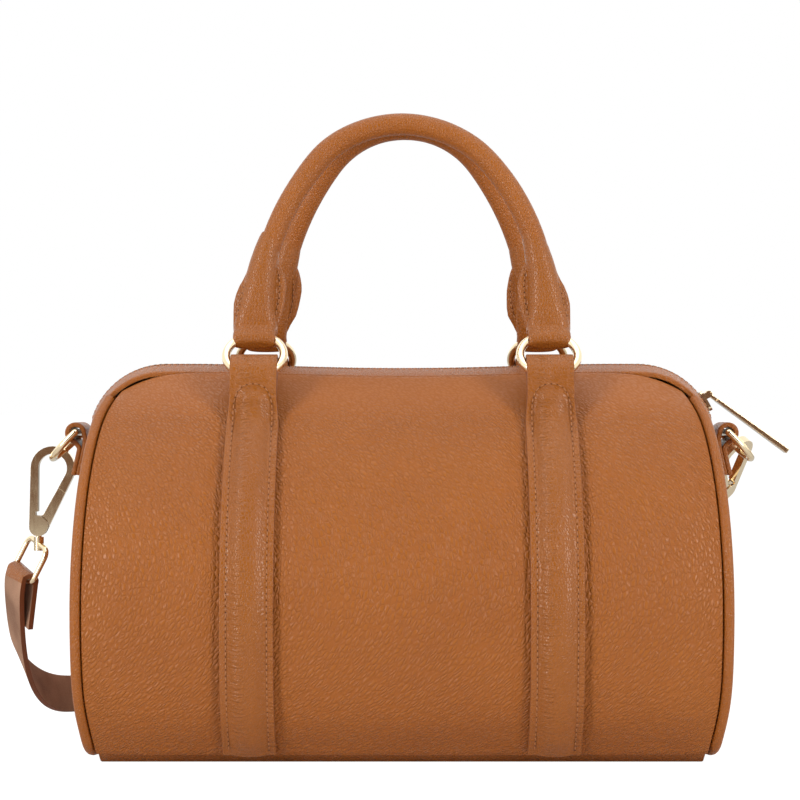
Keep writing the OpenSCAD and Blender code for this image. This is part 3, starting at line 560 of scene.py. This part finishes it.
def hide_material(
    name, cell, stretch, crease, depth, relief, roughness,
    hide=None, deep=None, uneven=0.16, smooth_above=None,
):
    """Leather: pebbled relief, and tone with painted shade in its creases, smoother where it is stretched
    over the top.
    """
    if found := bpy.data.materials.get(name):
        return found
    material, tree, shader, place = plain_material(name)
    pebbles = node(
        tree, "ShaderNodeGroup", {"Vector": place, "Cell": cell, "Stretch": stretch, "Crease": crease},
        node_tree=pebble_group(),
    ).outputs
    # Deep and Depth set the painted shade in the creases
    tone = node(tree, "ShaderNodeGroup", {
        "Hide": opaque(hide or colours().hide), "Deep": opaque(deep or colours().hide_crease_shade),
        "Creases": pebbles["Creases"], "Patches": pebbles["Patches"],
        "Depth": depth, "Unevenness": uneven,
    }, node_tree=tone_with_shade_group()).outputs
    height = pebbles["Height"]
    if smooth_above:
        z = parted(tree, place)["Z"]
        fade = remap(tree, z, smooth_above - 0.016, smooth_above, 1, 0.15, soft=True)
        height = calc(tree, "MULTIPLY", height, fade)
    bump = node(tree, "ShaderNodeBump", {"Distance": relief, "Height": height})
    wire(shader, {
        "Base Color": tone["Color"],
        "Roughness": remap(tree, pebbles["Creases"], 0, 1, roughness, min(1, roughness + 0.25)),
        "Normal": bump.outputs["Normal"],
        "Specular IOR Level": 0.42,
    })
    return material


def grained_hide():
    return hide_material(
        "Grained hide", cell=sizes().pebble, stretch=0.58, crease=0.26, depth=0.3, relief=0.0005,
        roughness=0.35, smooth_above=0.162,
    )


def smooth_hide(name):
    return hide_material(
        name, cell=sizes().fine_pebble, stretch=0.7, crease=0.18, depth=0.2, relief=0.0002,
        roughness=0.27, hide=colours().strap,
    )


def stretched_hide():
    return smooth_hide("Stretched hide")


def strap_hide():
    """The smooth hide with crescent wrinkles where the padding rounds it, and creases at its top."""
    name = "Strap hide"
    if found := bpy.data.materials.get(name):
        return found
    material = smooth_hide(name)
    tree = material.node_tree
    place = node(tree, "ShaderNodeUVMap").outputs["UV"]
    across, up, _ = parted(tree, place)
    bow = calc(tree, "PINGPONG", across, PAD_SHARE / 2)
    sag = calc(tree, "MULTIPLY_ADD", bow, 0.011, up)
    waves = noise(tree, gathered(tree, calc(tree, "MULTIPLY", across, 0.02), sag), 150, 1)["Fac"]
    wrinkles = calc(tree, "MULTIPLY", waves, remap(tree, bow, 0.1, 0.33, soft=True))
    creases = noise(tree, squeezed(tree, place, (1, 3, 1)), 26)["Fac"]
    at_top = remap(tree, up, 0.83, 0.86, soft=True)
    height = node(tree, "ShaderNodeMix", {0: at_top, 2: wrinkles, 3: creases}, data_type="FLOAT")
    grain = next(n for n in tree.nodes if n.type == "BUMP").outputs["Normal"]
    bump = node(
        tree, "ShaderNodeBump", {"Distance": 0.0011, "Height": height.outputs[0], "Normal": grain}
    )
    wire(tree.nodes["Principled BSDF"], {"Normal": bump.outputs["Normal"]})
    return material


def rolled_hide():
    return hide_material(
        "Rolled hide", cell=sizes().fine_pebble, stretch=0.8, crease=0.25, depth=0.25, relief=0.00026,
        roughness=0.26,
    )


def edge_paint():
    return hide_material(
        "Edge paint", cell=0.0008, stretch=1, crease=0.3, depth=0.3, relief=0.00004, roughness=0.4,
        hide=colours().edge, uneven=0.3,
    )


def suede():
    # The suede's deep colour is painted shade in its creases
    return hide_material(
        "Suede", cell=0.0005, stretch=1, crease=0.5, depth=0.35, relief=0.00012, roughness=0.92,
        hide=colours().suede, deep=(0.24, 0.12, 0.07), uneven=0.7,
    )


def thread_material():
    """Twisted, waxed thread, darker in bands along its twist: painted shade between the plies."""
    name = "Waxed thread"
    if found := bpy.data.materials.get(name):
        return found
    material, tree, shader, place = plain_material(name)
    # Painted shade: darker bands along the twist
    twist_shade = node(
        tree, "ShaderNodeTexWave", {"Vector": place, "Scale": 900, "Distortion": 1}, wave_type="BANDS"
    )
    colour = colours().thread
    wire(shader, {
        "Base Color": mixed(tree, twist_shade.outputs["Fac"], opaque(colour, 0.7), opaque(colour)),
        "Roughness": 0.55,
    })
    return material


def hole_shade_material():
    """Painted shade of a needle hole: a dark bead where the thread goes into the leather."""
    name = "Needle hole shade"
    if found := bpy.data.materials.get(name):
        return found
    material, tree, shader, place = plain_material(name)
    # Both colours are painted shade, a little uneven from spot to spot
    spots = noise(tree, place, 600)["Fac"]
    wire(shader, {
        "Base Color": mixed(tree, spots, (0.05, 0.014, 0.006, 1), (0.12, 0.035, 0.012, 1)),
        "Roughness": 0.9,
    })
    return material


def plated(name="Gold plating", tint=None, rough=0.07):
    """Gold plating with faint polishing marks and a few dull spots."""
    if found := bpy.data.materials.get(name):
        return found
    material, tree, shader, place = plain_material(name)
    tint = tint or colours().plating
    marks = noise(tree, squeezed(tree, place, (1, 1, 0.12)), 900)["Fac"]
    dull = noise(tree, place, 160, 3)["Fac"]
    wire(shader, {
        "Base Color": mixed(tree, dull, opaque(tint), opaque(tint, 0.9)),
        "Roughness": remap(tree, calc(tree, "MULTIPLY", marks, dull), 0, 0.6, rough, rough + 0.12),
        "Metallic": 1,
    })
    return material


def cloth(name, colour, size):
    """Woven cloth: crossed threads with a soft sheen, darker between the threads as painted shade."""
    if found := bpy.data.materials.get(name):
        return found
    material, tree, shader, place = plain_material(name)
    warp, weft = (
        node(
            tree, "ShaderNodeTexWave", {"Vector": place, "Scale": 0.314 / size},
            wave_type="BANDS", bands_direction=axis,
        ).outputs["Fac"]
        for axis in ("X", "Z")
    )
    weave_and_gap_shade = calc(tree, "MULTIPLY", warp, weft)
    bump = node(tree, "ShaderNodeBump", {"Distance": 0.0001, "Height": weave_and_gap_shade})
    # The weave gives the relief, and it also darkens the base colour between the threads as painted shade
    wire(shader, {
        "Base Color": mixed(tree, weave_and_gap_shade, opaque(colour, 0.6), opaque(colour)),
        "Normal": bump.outputs["Normal"],
        "Roughness": 0.85,
        "Sheen Weight": 0.3,
    })
    return material


# Pieces


def puffed(panel):
    """Lets a panel belly out between its seams, and pulls it in beside the straps sewn to it."""
    pull_deep, pull_wide = 0.0011, 0.0145
    groove_deep, groove_wide, groove_at = 0.0017, 0.003, 0.0128
    for v in panel.data.vertices:
        far = abs(v.co.x)
        off_strap = abs(far - STRAP_X)
        rise = eased((v.co.z - PANEL_LOW.z) / 0.022) * eased((PANEL_HIGH.z - v.co.z) / 0.045)
        belly = 0.55 * (1 - min(1.0, far / PANEL_HIGH.x) ** 4) + 0.45 * eased((PANEL_HIGH.x - far) / 0.014)
        pull = pull_deep * math.exp(-((off_strap / pull_wide) ** 2))
        groove = groove_deep * math.exp(-(((off_strap - groove_at) / groove_wide) ** 2))
        out = sizes().puff * belly * (0.2 + 0.8 * rise) - (pull + groove) * rise
        v.co += Vector((0, v.co.y, v.co.z - BELLY)).normalized() * out
    panel.data.update()


class BAG_OT_panels(bpy.types.Operator):
    """Front, back, end and base panels in grained leather"""

    bl_idname = "bag.panels"
    bl_label = "Panels"

    def execute(self, context):
        for side, _ in SIDES:
            panel = soft_shell(f"{side}_panel", f"{side}_panel_leather")
            puffed(panel)
            dress(panel, "bag", grained_hide(), f"{side}_panel")
        for end, _ in ENDS:
            panel = soft_shell(f"{end}_end_panel", f"{end}_end_leather")
            dress(panel, "bag", grained_hide(), f"{end}_end_panel")
        base = copy_of("base_panel", "base_leather", quads=False)
        rounded(base, 0.0009, 15, segments=3)
        smooth(base, 50)
        dress(base, "bag", grained_hide(), "base_panel")
        return {"FINISHED"}


class BAG_OT_piping(bpy.types.Operator):
    """Rolled piping round both ends"""

    bl_idname = "bag.piping"
    bl_label = "Piping"

    def execute(self, context):
        for end, _ in ENDS:
            piping = soft_shell(f"{end}_piping", f"{end}_piping_leather", rounding=0.0004)
            dress(piping, "bag", rolled_hide(), f"{end}_piping")
        return {"FINISHED"}


def settled(facing):
    """Lets a facing's outer edge lie under the panels at its corners and fill its seat at its ends."""
    corner_out, end_out, end_down = 0.0011, 0.0013, 0.0009
    edge = max(abs(v.co.y) for v in facing.data.vertices)
    low = min(v.co.z for v in facing.data.vertices)
    for v in facing.data.vertices:
        far = abs(v.co.x)
        out = corner_out * eased((far - 0.095) / 0.012) + end_out * eased((far - 0.128) / 0.006)
        v.co.y += math.copysign(out * eased((abs(v.co.y) - edge + 0.006) / 0.005), v.co.y)
        v.co.z -= end_down * eased((low + 0.004 - v.co.z) / 0.003)
    facing.data.update()


def band_rays(y):
    """Rays down on to the zip band, along its top and round both of its corners."""
    rays = []
    for k in range(-50, 51):
        turn = math.radians(BAND_TURN * max(0, abs(k) - 25) / 25)
        way = Vector((math.copysign(math.sin(turn), k), 0, math.cos(turn)))
        start = Vector((BAND_CORNER * max(-25, min(25, k)) / 25, y, 0.139))
        rays.append((start + way * 0.08, -way))
    return rays


class BAG_OT_zip(bpy.types.Operator):
    """Leather facings, tapes, teeth and stops of the zip"""

    bl_idname = "bag.zip"
    bl_label = "Zip"

    def execute(self, context):
        facings = []
        for side, _ in SIDES:
            facing = soft_shell(
                f"zip_facing_{side}", f"{side}_facing_leather", rounding=sizes().facing_round
            )
            settled(facing)
            dress(facing, "bag", rolled_hide(), f"zip_facing_{side}")
            facings.append(facing)
            tape = soft_shell(f"zip_tape_{side}", f"{side}_zip_tape", rounding=0.0002)
            dress(tape, "bag", cloth("Zip tape", colours().tape, 0.0006), f"zip_tape_{side}")
        tree = tree_of(facings)
        lines = [along(landings(tree, band_rays(front * 0.0074)), 0.002) for _, front in SIDES]
        sew("zip_facing_stitches", lines, "bag")
        for name in ("zip_teeth_front", "zip_teeth_back", "zip_stops"):
            piece = frame["nodes"][name]
            piece.data.materials.clear()
            piece.data.materials.append(plated("Zip teeth", (0.86, 0.68, 0.42), 0.2))
        return {"FINISHED"}


def strap_line(tree, x):
    """The outer face of a strap in the section of the bag, from the base over the ring and back."""
    points = []
    for k in range(48):
        hit, normal, _, _ = tree.ray_cast(Vector((x, -0.3, 0.0062 + 0.003 * k)), Vector((0, 1, 0)))
        if hit is not None:
            out = Vector((0, normal.y, normal.z)).normalized()
            points.append(Vector((0, hit.y, hit.z)) + out * (sizes().strap_leather + 0.0003))
    centre = Vector((0, RING_AT.y, RING_AT.z))
    up = Vector((0, DIAGONAL, DIAGONAL))
    out = Vector((0, -DIAGONAL, DIAGONAL))
    half, low = 0.0041, -0.0046
    before = ((-0.0472, 0.154), (-0.0474, 0.160), (-0.0472, 0.166))
    behind = ((-0.0438, 0.163), (-0.0436, 0.157), (-0.0436, 0.1535))
    points += [Vector((0, *yz)) for yz in before]
    points += [centre + out * half + up * t for t in (-0.0105, -0.007)]
    for k in range(9):
        a = math.pi * k / 8
        points.append(centre + out * half * math.cos(a) + up * (low + half * math.sin(a)))
    points += [centre - out * half + up * t for t in (-0.007, -0.0105)]
    points += [Vector((0, *yz)) for yz in behind]
    return relaxed(along(points, 0.0016), 3)


def strap_height(across, z):
    """Padding over a strap, with flat borders, an arched top and a pressed-down foot."""
    share = abs(across) / PAD_SHARE
    if share >= 1:
        return 0.0
    crown = (1 - share ** 2.2) ** 0.95
    top = 0.1635 - 0.003 * share ** 3
    return sizes().strap_pad * crown * eased((top - z) / 0.005) * (0.35 + 0.65 * eased((z - 0.004) / 0.01))


def strap_rows(line, front, hand):
    """Rows of points across a strap, from the base over its ring and back."""
    size = sizes()
    top = max(range(len(line)), key=lambda k: line[k].z)
    rows = []
    for k, middle in enumerate(line):
        way = (line[min(k + 1, len(line) - 1)] - line[max(k - 1, 0)]).normalized()
        out = Vector((0, -way.z, way.y))
        z = middle.z if k <= top else 1
        taper = eased((middle.z - 0.146) / 0.014)
        width = size.strap_width + (size.loop_width - size.strap_width) * taper
        row = []
        for j in range(21):
            across = j / 10 - 1
            p = middle + out * strap_height(across, z)
            row.append(Vector((hand * STRAP_X - front * across * width / 2, -front * p.y, p.z)))
        rows.append(row)
    return rows


class BAG_OT_straps(bpy.types.Operator):
    """Padded straps that run up the panels, through the rings and back down behind"""

    bl_idname = "bag.straps"
    bl_label = "Straps"

    def execute(self, context):
        line = strap_line(tree_of([bpy.data.objects["front_panel_leather"]]), STRAP_X)
        for side, front in SIDES:
            for end, hand in ENDS:
                strap = grid_piece(f"{side}_{end}_strap_leather", strap_rows(line, front, hand))
                strap.data.materials.append(strap_hide())
                strap.data.materials.append(edge_paint())
                finish_with(
                    strap, "SOLIDIFY", thickness=sizes().strap_leather, offset=-1, use_rim=True,
                    material_offset_rim=1,
                )
                rounded(strap, sizes().edge_round, 55)
                smooth(strap, 50)
                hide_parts(f"{side}_{end}_strap", f"{side}_strap_loops")
                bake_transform(strap)
        return {"FINISHED"}


class BAG_OT_strap_stitches(bpy.types.Operator):
    """Stitches down both edges of the straps and over the top of their padding"""

    bl_idname = "bag.strap_stitches"
    bl_label = "Strap stitches"

    def execute(self, context):
        half, low, run, steps = 0.0086, 0.008, 0.1505, 39
        arch_low, arch_rise = 0.16, 0.0052
        arch = [2 * k / 12 - 1 for k in range(1, 12)]
        course = [(-half, low + run * k / steps) for k in range(steps + 1)]
        course += [(half * a, arch_low + arch_rise * (1 - abs(a) ** 2.6)) for a in arch]
        course += [(half, low + run - run * k / steps) for k in range(steps + 1)]
        for side, front in SIDES:
            way = Vector((0, -front, 0))
            for end, hand in ENDS:
                tree = tree_of([bpy.data.objects[f"{side}_{end}_strap_leather"]])
                rays = [(Vector((hand * STRAP_X + x, front * 0.3, z)), way) for x, z in course]
                line = along(relaxed(landings(tree, rays), 2), 0.0015)
                sew(f"{side}_{end}_strap_stitches", [line], "bag")
        return {"FINISHED"}


# A handle's foot in millimetres, from its fold up into the roll:
# distance up, middle, half width, half depth, squareness
FOOT_BODY = (
    (-10.5, 66.3, 9.4, 1.6, 2.0), (-10.1, 66.3, 9.6, 2.8, 2.4), (-9.3, 66.3, 9.8, 3.6, 3.0),
    (-8.2, 66.3, 9.8, 4.2, 4.5), (-5, 66.3, 9.8, 4.6, 4.0), (-1, 66.2, 9.8, 5.1, 3.2),
    (3, 66.1, 9.6, 5.8, 2.8), (7, 66.0, 9.0, 6.3, 2.5), (11, 65.5, 8.5, 6.6, 2.3),
    (18, 64.8, 7.9, 6.8, 2.1), (25, 63.8, 7.2, 6.6, 2.0), (32, 62.6, 6.5, 6.2, 2.0),
    (38, 61.3, 5.8, 5.7, 2.0), (43, 59.9, 5.2, 5.1, 2.0), (45, 59.2, 4.8, 4.8, 2.0),
)
# The sewn flange at both sides of it: distance up, middle, half width
FOOT_FLANGE = (
    (-3, 66.3, 9.6), (0, 66.3, 10.0), (4, 65.75, 10.6), (8, 65.2, 11.2), (12, 64.8, 11.5),
    (16, 64.1, 11.3), (20, 63.2, 10.7), (23, 62.6, 9.6), (26, 62.4, 8.5), (29, 62.3, 7.2),
    (32, 62.2, 5.4),
)
# Half depth and squareness of the flange
FLANGE_SECTION = (1.6, 3.0)
# Stitches on the flange, at its outer and its inner side: place across, height
FLANGE_STITCHES = (
    ((70.9, 211.2), (72.4, 205.7), (73.2, 201.1), (73.9, 197.4), (74.7, 195.6)),
    ((56.3, 217.1), (55.3, 210.2), (55.7, 203.4), (56.9, 197.8), (58.0, 194.2)),
)


def ring_slope(front, x, t, off):
    """A point in the slope of a handle ring: along it from its middle, and off it."""
    y = abs(RING_AT.y) - (t - off) * DIAGONAL
    return Vector((x, front * y, RING_AT.z + (t + off) * DIAGONAL))


def sway(reach, front):
    """How much narrower the back handle stands than the front one, in millimetres."""
    return 0 if front < 0 else 1.5 + 2.3 * eased(reach / 10) + 2.2 * eased((reach - 18) / 20)


def back_shift(z):
    """The back handle hangs a little to the right."""
    return 0.0014 * eased((z - 0.195) / 0.02)


def foot_section(hand, front, reach, middle, wide, deep, square):
    """One section of a handle's foot."""
    at = ring_slope(1, 0, FOOT_RUN + min(reach, 0) / 1000, 0)
    at += Vector((0, -math.sin(LEAN), math.cos(LEAN))) * max(reach, 0) / 1000
    turn = math.radians(45) + math.radians(35) * eased((reach + 7) / 12)
    aside = Vector((0, math.sin(turn), math.cos(turn)))
    ring = []
    for k in range(40):
        a = 2 * math.pi * k / 40
        u = math.copysign(abs(math.cos(a)) ** (2 / square), math.cos(a)) * wide
        v = math.copysign(abs(math.sin(a)) ** (2 / square), math.sin(a)) * deep
        p = at + aside * v / 1000
        x = hand * (middle - sway(reach, front) + u) / 1000
        if front > 0:
            x += back_shift(p.z)
        ring.append(Vector((x, front * p.y, p.z)))
    return ring


def foot_body(name, hand, front):
    """The leather that flows from the fold round the ring up into the roll of the handle."""
    return loft_piece(name, [foot_section(hand, front, *row) for row in FOOT_BODY])


def foot_flange(name, hand, front):
    """The two layers sewn together at both sides of the roll."""
    return loft_piece(name, [foot_section(hand, front, *row, *FLANGE_SECTION) for row in FOOT_FLANGE])


def fold_slot(name, hand, front):
    """The hollow of the fold, where the ring's wire lies."""
    outline = []
    for end, way in SLOT_ENDS:
        for k in range(16):
            a = math.pi * k / 15
            outline.append((end - way * SLOT_ROUND * (1 - math.sin(a)), way * SLOT_ROUND * math.cos(a)))
    return loft_piece(
        name, [[ring_slope(front, hand * (STRAP_X + x), *place) for place in outline] for x in (-0.02, 0.02)]
    )


def swayed(obj, front):
    """Draws the front handle out and the back one in, as the two hang apart."""
    for v in obj.data.vertices:
        far = abs(v.co.x)
        if front < 0:
            out = 0.0023 * eased(far / 0.045)
            v.co.z += 0.0005 * eased((v.co.z - 0.2) / 0.05)
            v.co.x += 0.0008 * eased((v.co.z - 0.205) / 0.03) * (1 - eased((v.co.z - 0.255) / 0.03))
        else:
            out = -0.0035 * eased(far / 0.055)
            v.co.x += back_shift(v.co.z)
        v.co.x += math.copysign(1, v.co.x) * out
    obj.data.update()


def handle_foot(side, front, hand):
    """The parts of one foot: its body, slotted for the ring, and its flange."""
    body = foot_body(f"{side}_foot_body", hand, front)
    slot = fold_slot(f"{side}_fold_slot", hand, front)
    finish_with(body, "BOOLEAN", operation="DIFFERENCE", object=slot, solver="EXACT")
    bpy.data.objects.remove(slot)
    return [body, foot_flange(f"{side}_foot_flange", hand, front)]


def flange_lines(tree, front):
    """Lines of stitches on both faces of both feet's flanges."""
    lines = []
    for _, hand in ENDS:
        for row in FLANGE_STITCHES:
            for face in (-1, 1):
                rays = []
                for x, z in row:
                    x -= sway((z - 190) / math.cos(LEAN), front)
                    rays.append((Vector((hand * x / 1000, face * 0.3, z / 1000)), Vector((0, -face, 0))))
                line = landings(tree, rays)
                lines.append(along(relaxed(along(line, 0.001), 3), 0.001))
    return lines


class BAG_OT_handles(bpy.types.Operator):
    """Rolled handles with their cord cores and sewn feet"""

    bl_idname = "bag.handles"
    bl_label = "Handles"

    def execute(self, context):
        for side, front in SIDES:
            handle = f"{side}_handle"
            roll = soft_shell(handle, f"{handle}_leather", crease_angle=70, rounding=0.0003)
            core = soft_shell(f"{handle}_core", f"{handle}_cord", crease_angle=70, rounding=0.0003)
            swayed(roll, front)
            swayed(core, front)
            dress(roll, handle, rolled_hide(), handle)
            dress(core, handle, cloth("Cord", (0.7, 0.6, 0.46), 0.001), f"{handle}_core")
            parts = [part for _, hand in ENDS for part in handle_foot(side, front, hand)]
            foot = named(folded_leather(joined(parts), 0.0004, 4), f"{handle}_feet")
            foot.data.materials.append(stretched_hide())
            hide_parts(f"{handle}_tabs")
            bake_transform(foot)
            sew(f"{side}_foot_stitches", flange_lines(tree_of([foot]), front), handle)
        return {"FINISHED"}


def round_ring(side, front, end, hand):
    """One wire ring of a handle."""
    let_go()
    bpy.ops.mesh.primitive_torus_add(
        major_radius=(RING_HIGH.x - RING_LOW.x) / 2 - RING_TUBE, minor_radius=RING_TUBE,
        major_segments=96, minor_segments=24,
        location=(hand * STRAP_X, front * abs(RING_AT.y), RING_AT.z),
        rotation=(math.radians(-45 * front), 0, 0),
    )
    ring = named(bpy.context.object, f"{side}_{end}_round_ring")
    bpy.ops.object.transform_apply(location=True, rotation=True, scale=True)
    bpy.ops.object.shade_smooth()
    dress(ring, f"{side}_rings", plated(), f"{side}_{end}_ring")


class BAG_OT_fittings(bpy.types.Operator):
    """Rings, hooks, gates, slider and puller in gold plating"""

    bl_idname = "bag.fittings"
    bl_label = "Fittings"

    def execute(self, context):
        for side, front in SIDES:
            for end, hand in ENDS:
                round_ring(side, front, end, hand)
        for name, share in (
            ("left_hook", 1), ("right_hook", 1), ("left_gate", 0.6),
            ("right_gate", 0.6), ("zip_slider", 0.6), ("zip_puller", 1),
        ):
            piece = copy_of(name, name + "_plated", quads=False)
            with edited(piece):
                bpy.ops.mesh.dissolve_limited(angle_limit=math.radians(1))
            rounded(piece, sizes().metal_round * share, 40, segments=3)
            smooth(piece, 60)
            finish_with(piece, "WEIGHTED_NORMAL", weight=100, keep_sharp=True)
            dress(piece, name, plated(), name)
        for name, body in (
            ("left_d_ring", "left_d_ring"), ("right_d_ring", "right_d_ring"), ("left_strap_ring", "bag"),
            ("right_strap_ring", "bag"), ("left_gate_pin", "left_hook"), ("right_gate_pin", "right_hook"),
        ):
            piece = copy_of(name, name + "_plated", quads=False)
            smooth(piece, 40)
            dress(piece, body, plated(), name)
        return {"FINISHED"}


def tab_path(bar_x, bar_z, hand):
    """Middle of the tab's leather: up the end panel, round the bar of the ring and down again."""
    points = [(-1.2, -19.5), (-3.0, -12.0), (-4.2, -6.0), (-4.3, -2.0)]
    for k in range(13):
        a = math.radians(190 - 20 * k)
        points.append((3.9 * math.cos(a), 3.9 * math.sin(a)))
    points += [(0.2, -4.4), (-1.9, -6.8), (-0.8, -12.0), (1.0, -19.5)]
    line = [Vector((bar_x + hand * x / 1000, 0, bar_z + z / 1000)) for x, z in points]
    return relaxed(along(line, 0.0006), 3)


class BAG_OT_end_tabs(bpy.types.Operator):
    """Folded leather tabs that hold the end rings"""

    bl_idname = "bag.end_tabs"
    bl_label = "End tabs"

    def execute(self, context):
        wire_half = 0.0017
        for end, hand in ENDS:
            low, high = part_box(f"{end}_d_ring")
            bar_x = (low.x if hand > 0 else high.x) + hand * wire_half
            line = tab_path(bar_x, high.z - wire_half, hand)
            low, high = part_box(f"{end}_d_ring_tab")
            places = [low.y + (high.y - low.y) * j / 12 for j in range(13)]
            tab = grid_piece(f"{end}_tab_leather", [[Vector((p.x, y, p.z)) for y in places] for p in line])
            finish_with(tab, "SOLIDIFY", thickness=0.0021, offset=0, use_rim=True)
            rounded(tab, sizes().edge_round, 55)
            smooth(tab, 50)
            dress(tab, "bag", stretched_hide(), f"{end}_d_ring_tab")
        return {"FINISHED"}


class BAG_OT_shoulder_strap(bpy.types.Operator):
    """Shoulder strap of suede with painted edges, its grain side out at the folded ends"""

    bl_idname = "bag.shoulder_strap"
    bl_label = "Shoulder strap"

    def execute(self, context):
        strap = copy_of("shoulder_strap", "shoulder_strap_leather")
        for material in (stretched_hide(), suede(), edge_paint()):
            strap.data.materials.append(material)
        mesh = strap.data
        for face in mesh.polygons:
            runs = [(mesh.vertices[a].co - mesh.vertices[b].co).length for a, b in face.edge_keys]
            if not any(abs(run - SLING_WIDE) < 5e-5 for run in runs):
                face.material_index = 2
            elif face.center.z < SLING_FOLD:
                face.material_index = 1
        crease_sharp(strap, 50)
        finish_with(strap, "SUBSURF", levels=2, render_levels=2)
        rounded(strap, sizes().edge_round, 50)
        smooth(strap, 50)
        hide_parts("shoulder_strap")
        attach(strap, "bag")
        return {"FINISHED"}


class BAG_OT_inside(bpy.types.Operator):
    """Lining and base board"""

    bl_idname = "bag.inside"
    bl_label = "Inside"

    def execute(self, context):
        lining = soft_shell("lining", "lining_cloth", levels=1, rounding=0.0002)
        dress(lining, "bag", cloth("Lining", colours().lining, 0.0008), "lining")
        board = copy_of("base_board", "stiff_board", quads=False)
        rounded(board, 0.0004, 40)
        smooth(board, 40)
        dress(board, "bag", cloth("Grey board", (0.3, 0.28, 0.26), 0.0005), "base_board")
        return {"FINISHED"}


# Stage


def lay_floor():
    """A pale floor that the camera sees almost white, with the bag's shadow on it."""
    let_go()
    bpy.ops.mesh.primitive_plane_add(size=24, location=(0, 6, 0))
    floor = bpy.context.object
    floor.name = "floor"
    material = bpy.data.materials.new("Pale floor")
    material.use_nodes = True
    tree = material.node_tree
    tree.nodes.clear()
    matt = node(tree, "ShaderNodeBsdfDiffuse", {"Color": (0.92, 0.92, 0.92, 1)}).outputs[0]
    glow = node(tree, "ShaderNodeEmission", {"Strength": 1.35}).outputs[0]
    path = node(tree, "ShaderNodeLightPath").outputs
    seen = calc(tree, "MULTIPLY", path["Is Camera Ray"], 0.72)
    mix = node(tree, "ShaderNodeMixShader", {"Fac": seen, 1: matt, 2: glow}).outputs[0]
    node(tree, "ShaderNodeOutputMaterial", {"Surface": mix})
    floor.data.materials.append(material)


def light_world():
    """A white studio: dim as a light, bright to the camera and in reflections."""
    world = bpy.data.worlds.new("Studio")
    bpy.context.scene.world = world
    world.use_nodes = True
    tree = world.node_tree
    path = node(tree, "ShaderNodeLightPath").outputs
    seen = calc(tree, "ADD", path["Is Camera Ray"], path["Is Transmission Ray"], clamp=True)
    mirrored = calc(tree, "ADD", seen, path["Is Glossy Ray"], clamp=True)
    level = remap(tree, mirrored, 0, 1, 0.3, 1)
    bright = calc(tree, "MULTIPLY_ADD", path["Is Glossy Ray"], 0.2, level)
    wire(tree.nodes["Background"], {"Strength": bright, "Color": (1, 1, 1, 1)})


def hang_lamps():
    """Two narrow softboxes in front at both sides, and a wide one above."""
    for name, place, aim, wide, high, power in (
        ("left softbox", (-1.15, -1.0, 0.55), (0, 0, 0.12), 0.42, 1.3, 13.6),
        ("right softbox", (1.15, -1.0, 0.55), (0, 0, 0.12), 0.42, 1.3, 12.8),
        ("top softbox", (0, 0.05, 1.45), (0, 0, 0.1), 1.6, 1.0, 6.0),
    ):
        bpy.ops.object.light_add(type="AREA", location=place)
        lamp = named(bpy.context.object, name)
        lamp.data.shape = "RECTANGLE"
        lamp.data.size = wide
        lamp.data.size_y = high
        lamp.data.energy = power
        lamp.rotation_euler = (Vector(aim) - Vector(place)).to_track_quat("-Z", "Y").to_euler()


def set_flag():
    """A dark card behind the camera, seen in reflections only, that keeps the leather's colour deep."""
    let_go()
    bpy.ops.mesh.primitive_plane_add(size=1, location=(0, -1.35, 0.95), rotation=(math.radians(90), 0, 0))
    flag = bpy.context.object
    flag.name = "dark flag"
    flag.scale = (1.5, 2.5, 1)
    material = bpy.data.materials.new("Dark flag")
    material.use_nodes = True
    wire(material.node_tree.nodes["Principled BSDF"], {
        "Base Color": (0.01, 0.006, 0.004, 1),
        "Emission Color": (0.12, 0.052, 0.024, 1),
        "Emission Strength": 1,
    })
    flag.data.materials.append(material)
    flag.visible_camera = flag.visible_diffuse = flag.visible_shadow = flag.visible_transmission = False


def place_camera():
    bpy.ops.object.camera_add(location=CAMERA_AT, rotation=(math.radians(90), 0, 0))
    camera = bpy.context.object
    camera.data.sensor_width = 36
    camera.data.lens = LENS
    camera.data.clip_start = 0.01
    bpy.context.scene.camera = camera


class BAG_OT_stage(bpy.types.Operator):
    """Pale floor, soft lights and the camera"""

    bl_idname = "bag.stage"
    bl_label = "Stage"

    def execute(self, context):
        lay_floor()
        light_world()
        hang_lamps()
        set_flag()
        place_camera()
        bpy.context.scene.view_settings.view_transform = "Standard"
        return {"FINISHED"}


OPERATORS = (
    BAG_OT_panels, BAG_OT_piping, BAG_OT_zip, BAG_OT_straps, BAG_OT_strap_stitches, BAG_OT_handles,
    BAG_OT_fittings, BAG_OT_end_tabs, BAG_OT_shoulder_strap, BAG_OT_inside, BAG_OT_stage,
)


class BAG_PT_sidebar(bpy.types.Panel):
    """Sizes, colours and steps of the barrel bag"""

    bl_idname = "BAG_PT_sidebar"
    bl_label = "Barrel bag"
    bl_space_type = "VIEW_3D"
    bl_region_type = "UI"
    bl_category = "Barrel bag"

    def draw(self, context):
        layout = self.layout
        for settings in (context.scene.bag_sizes, context.scene.bag_colours):
            for key in settings.__annotations__:
                layout.prop(settings, key)
        for operator in OPERATORS:
            layout.operator(operator.bl_idname)


CLASSES = (BagSizes, BagColours, *OPERATORS, BAG_PT_sidebar)


def register():
    for one in CLASSES:
        bpy.utils.register_class(one)
    bpy.types.Scene.bag_sizes = PointerProperty(type=BagSizes)
    bpy.types.Scene.bag_colours = PointerProperty(type=BagColours)


def unregister():
    del bpy.types.Scene.bag_sizes
    del bpy.types.Scene.bag_colours
    for one in reversed(CLASSES):
        bpy.utils.unregister_class(one)


def main():
    register()
    for step in (
        bpy.ops.bag.panels, bpy.ops.bag.piping, bpy.ops.bag.zip, bpy.ops.bag.straps,
        bpy.ops.bag.strap_stitches, bpy.ops.bag.handles, bpy.ops.bag.fittings, bpy.ops.bag.end_tabs,
        bpy.ops.bag.shoulder_strap, bpy.ops.bag.inside, bpy.ops.bag.stage,
    ):
        step()


if __name__ == "__main__":
    main()
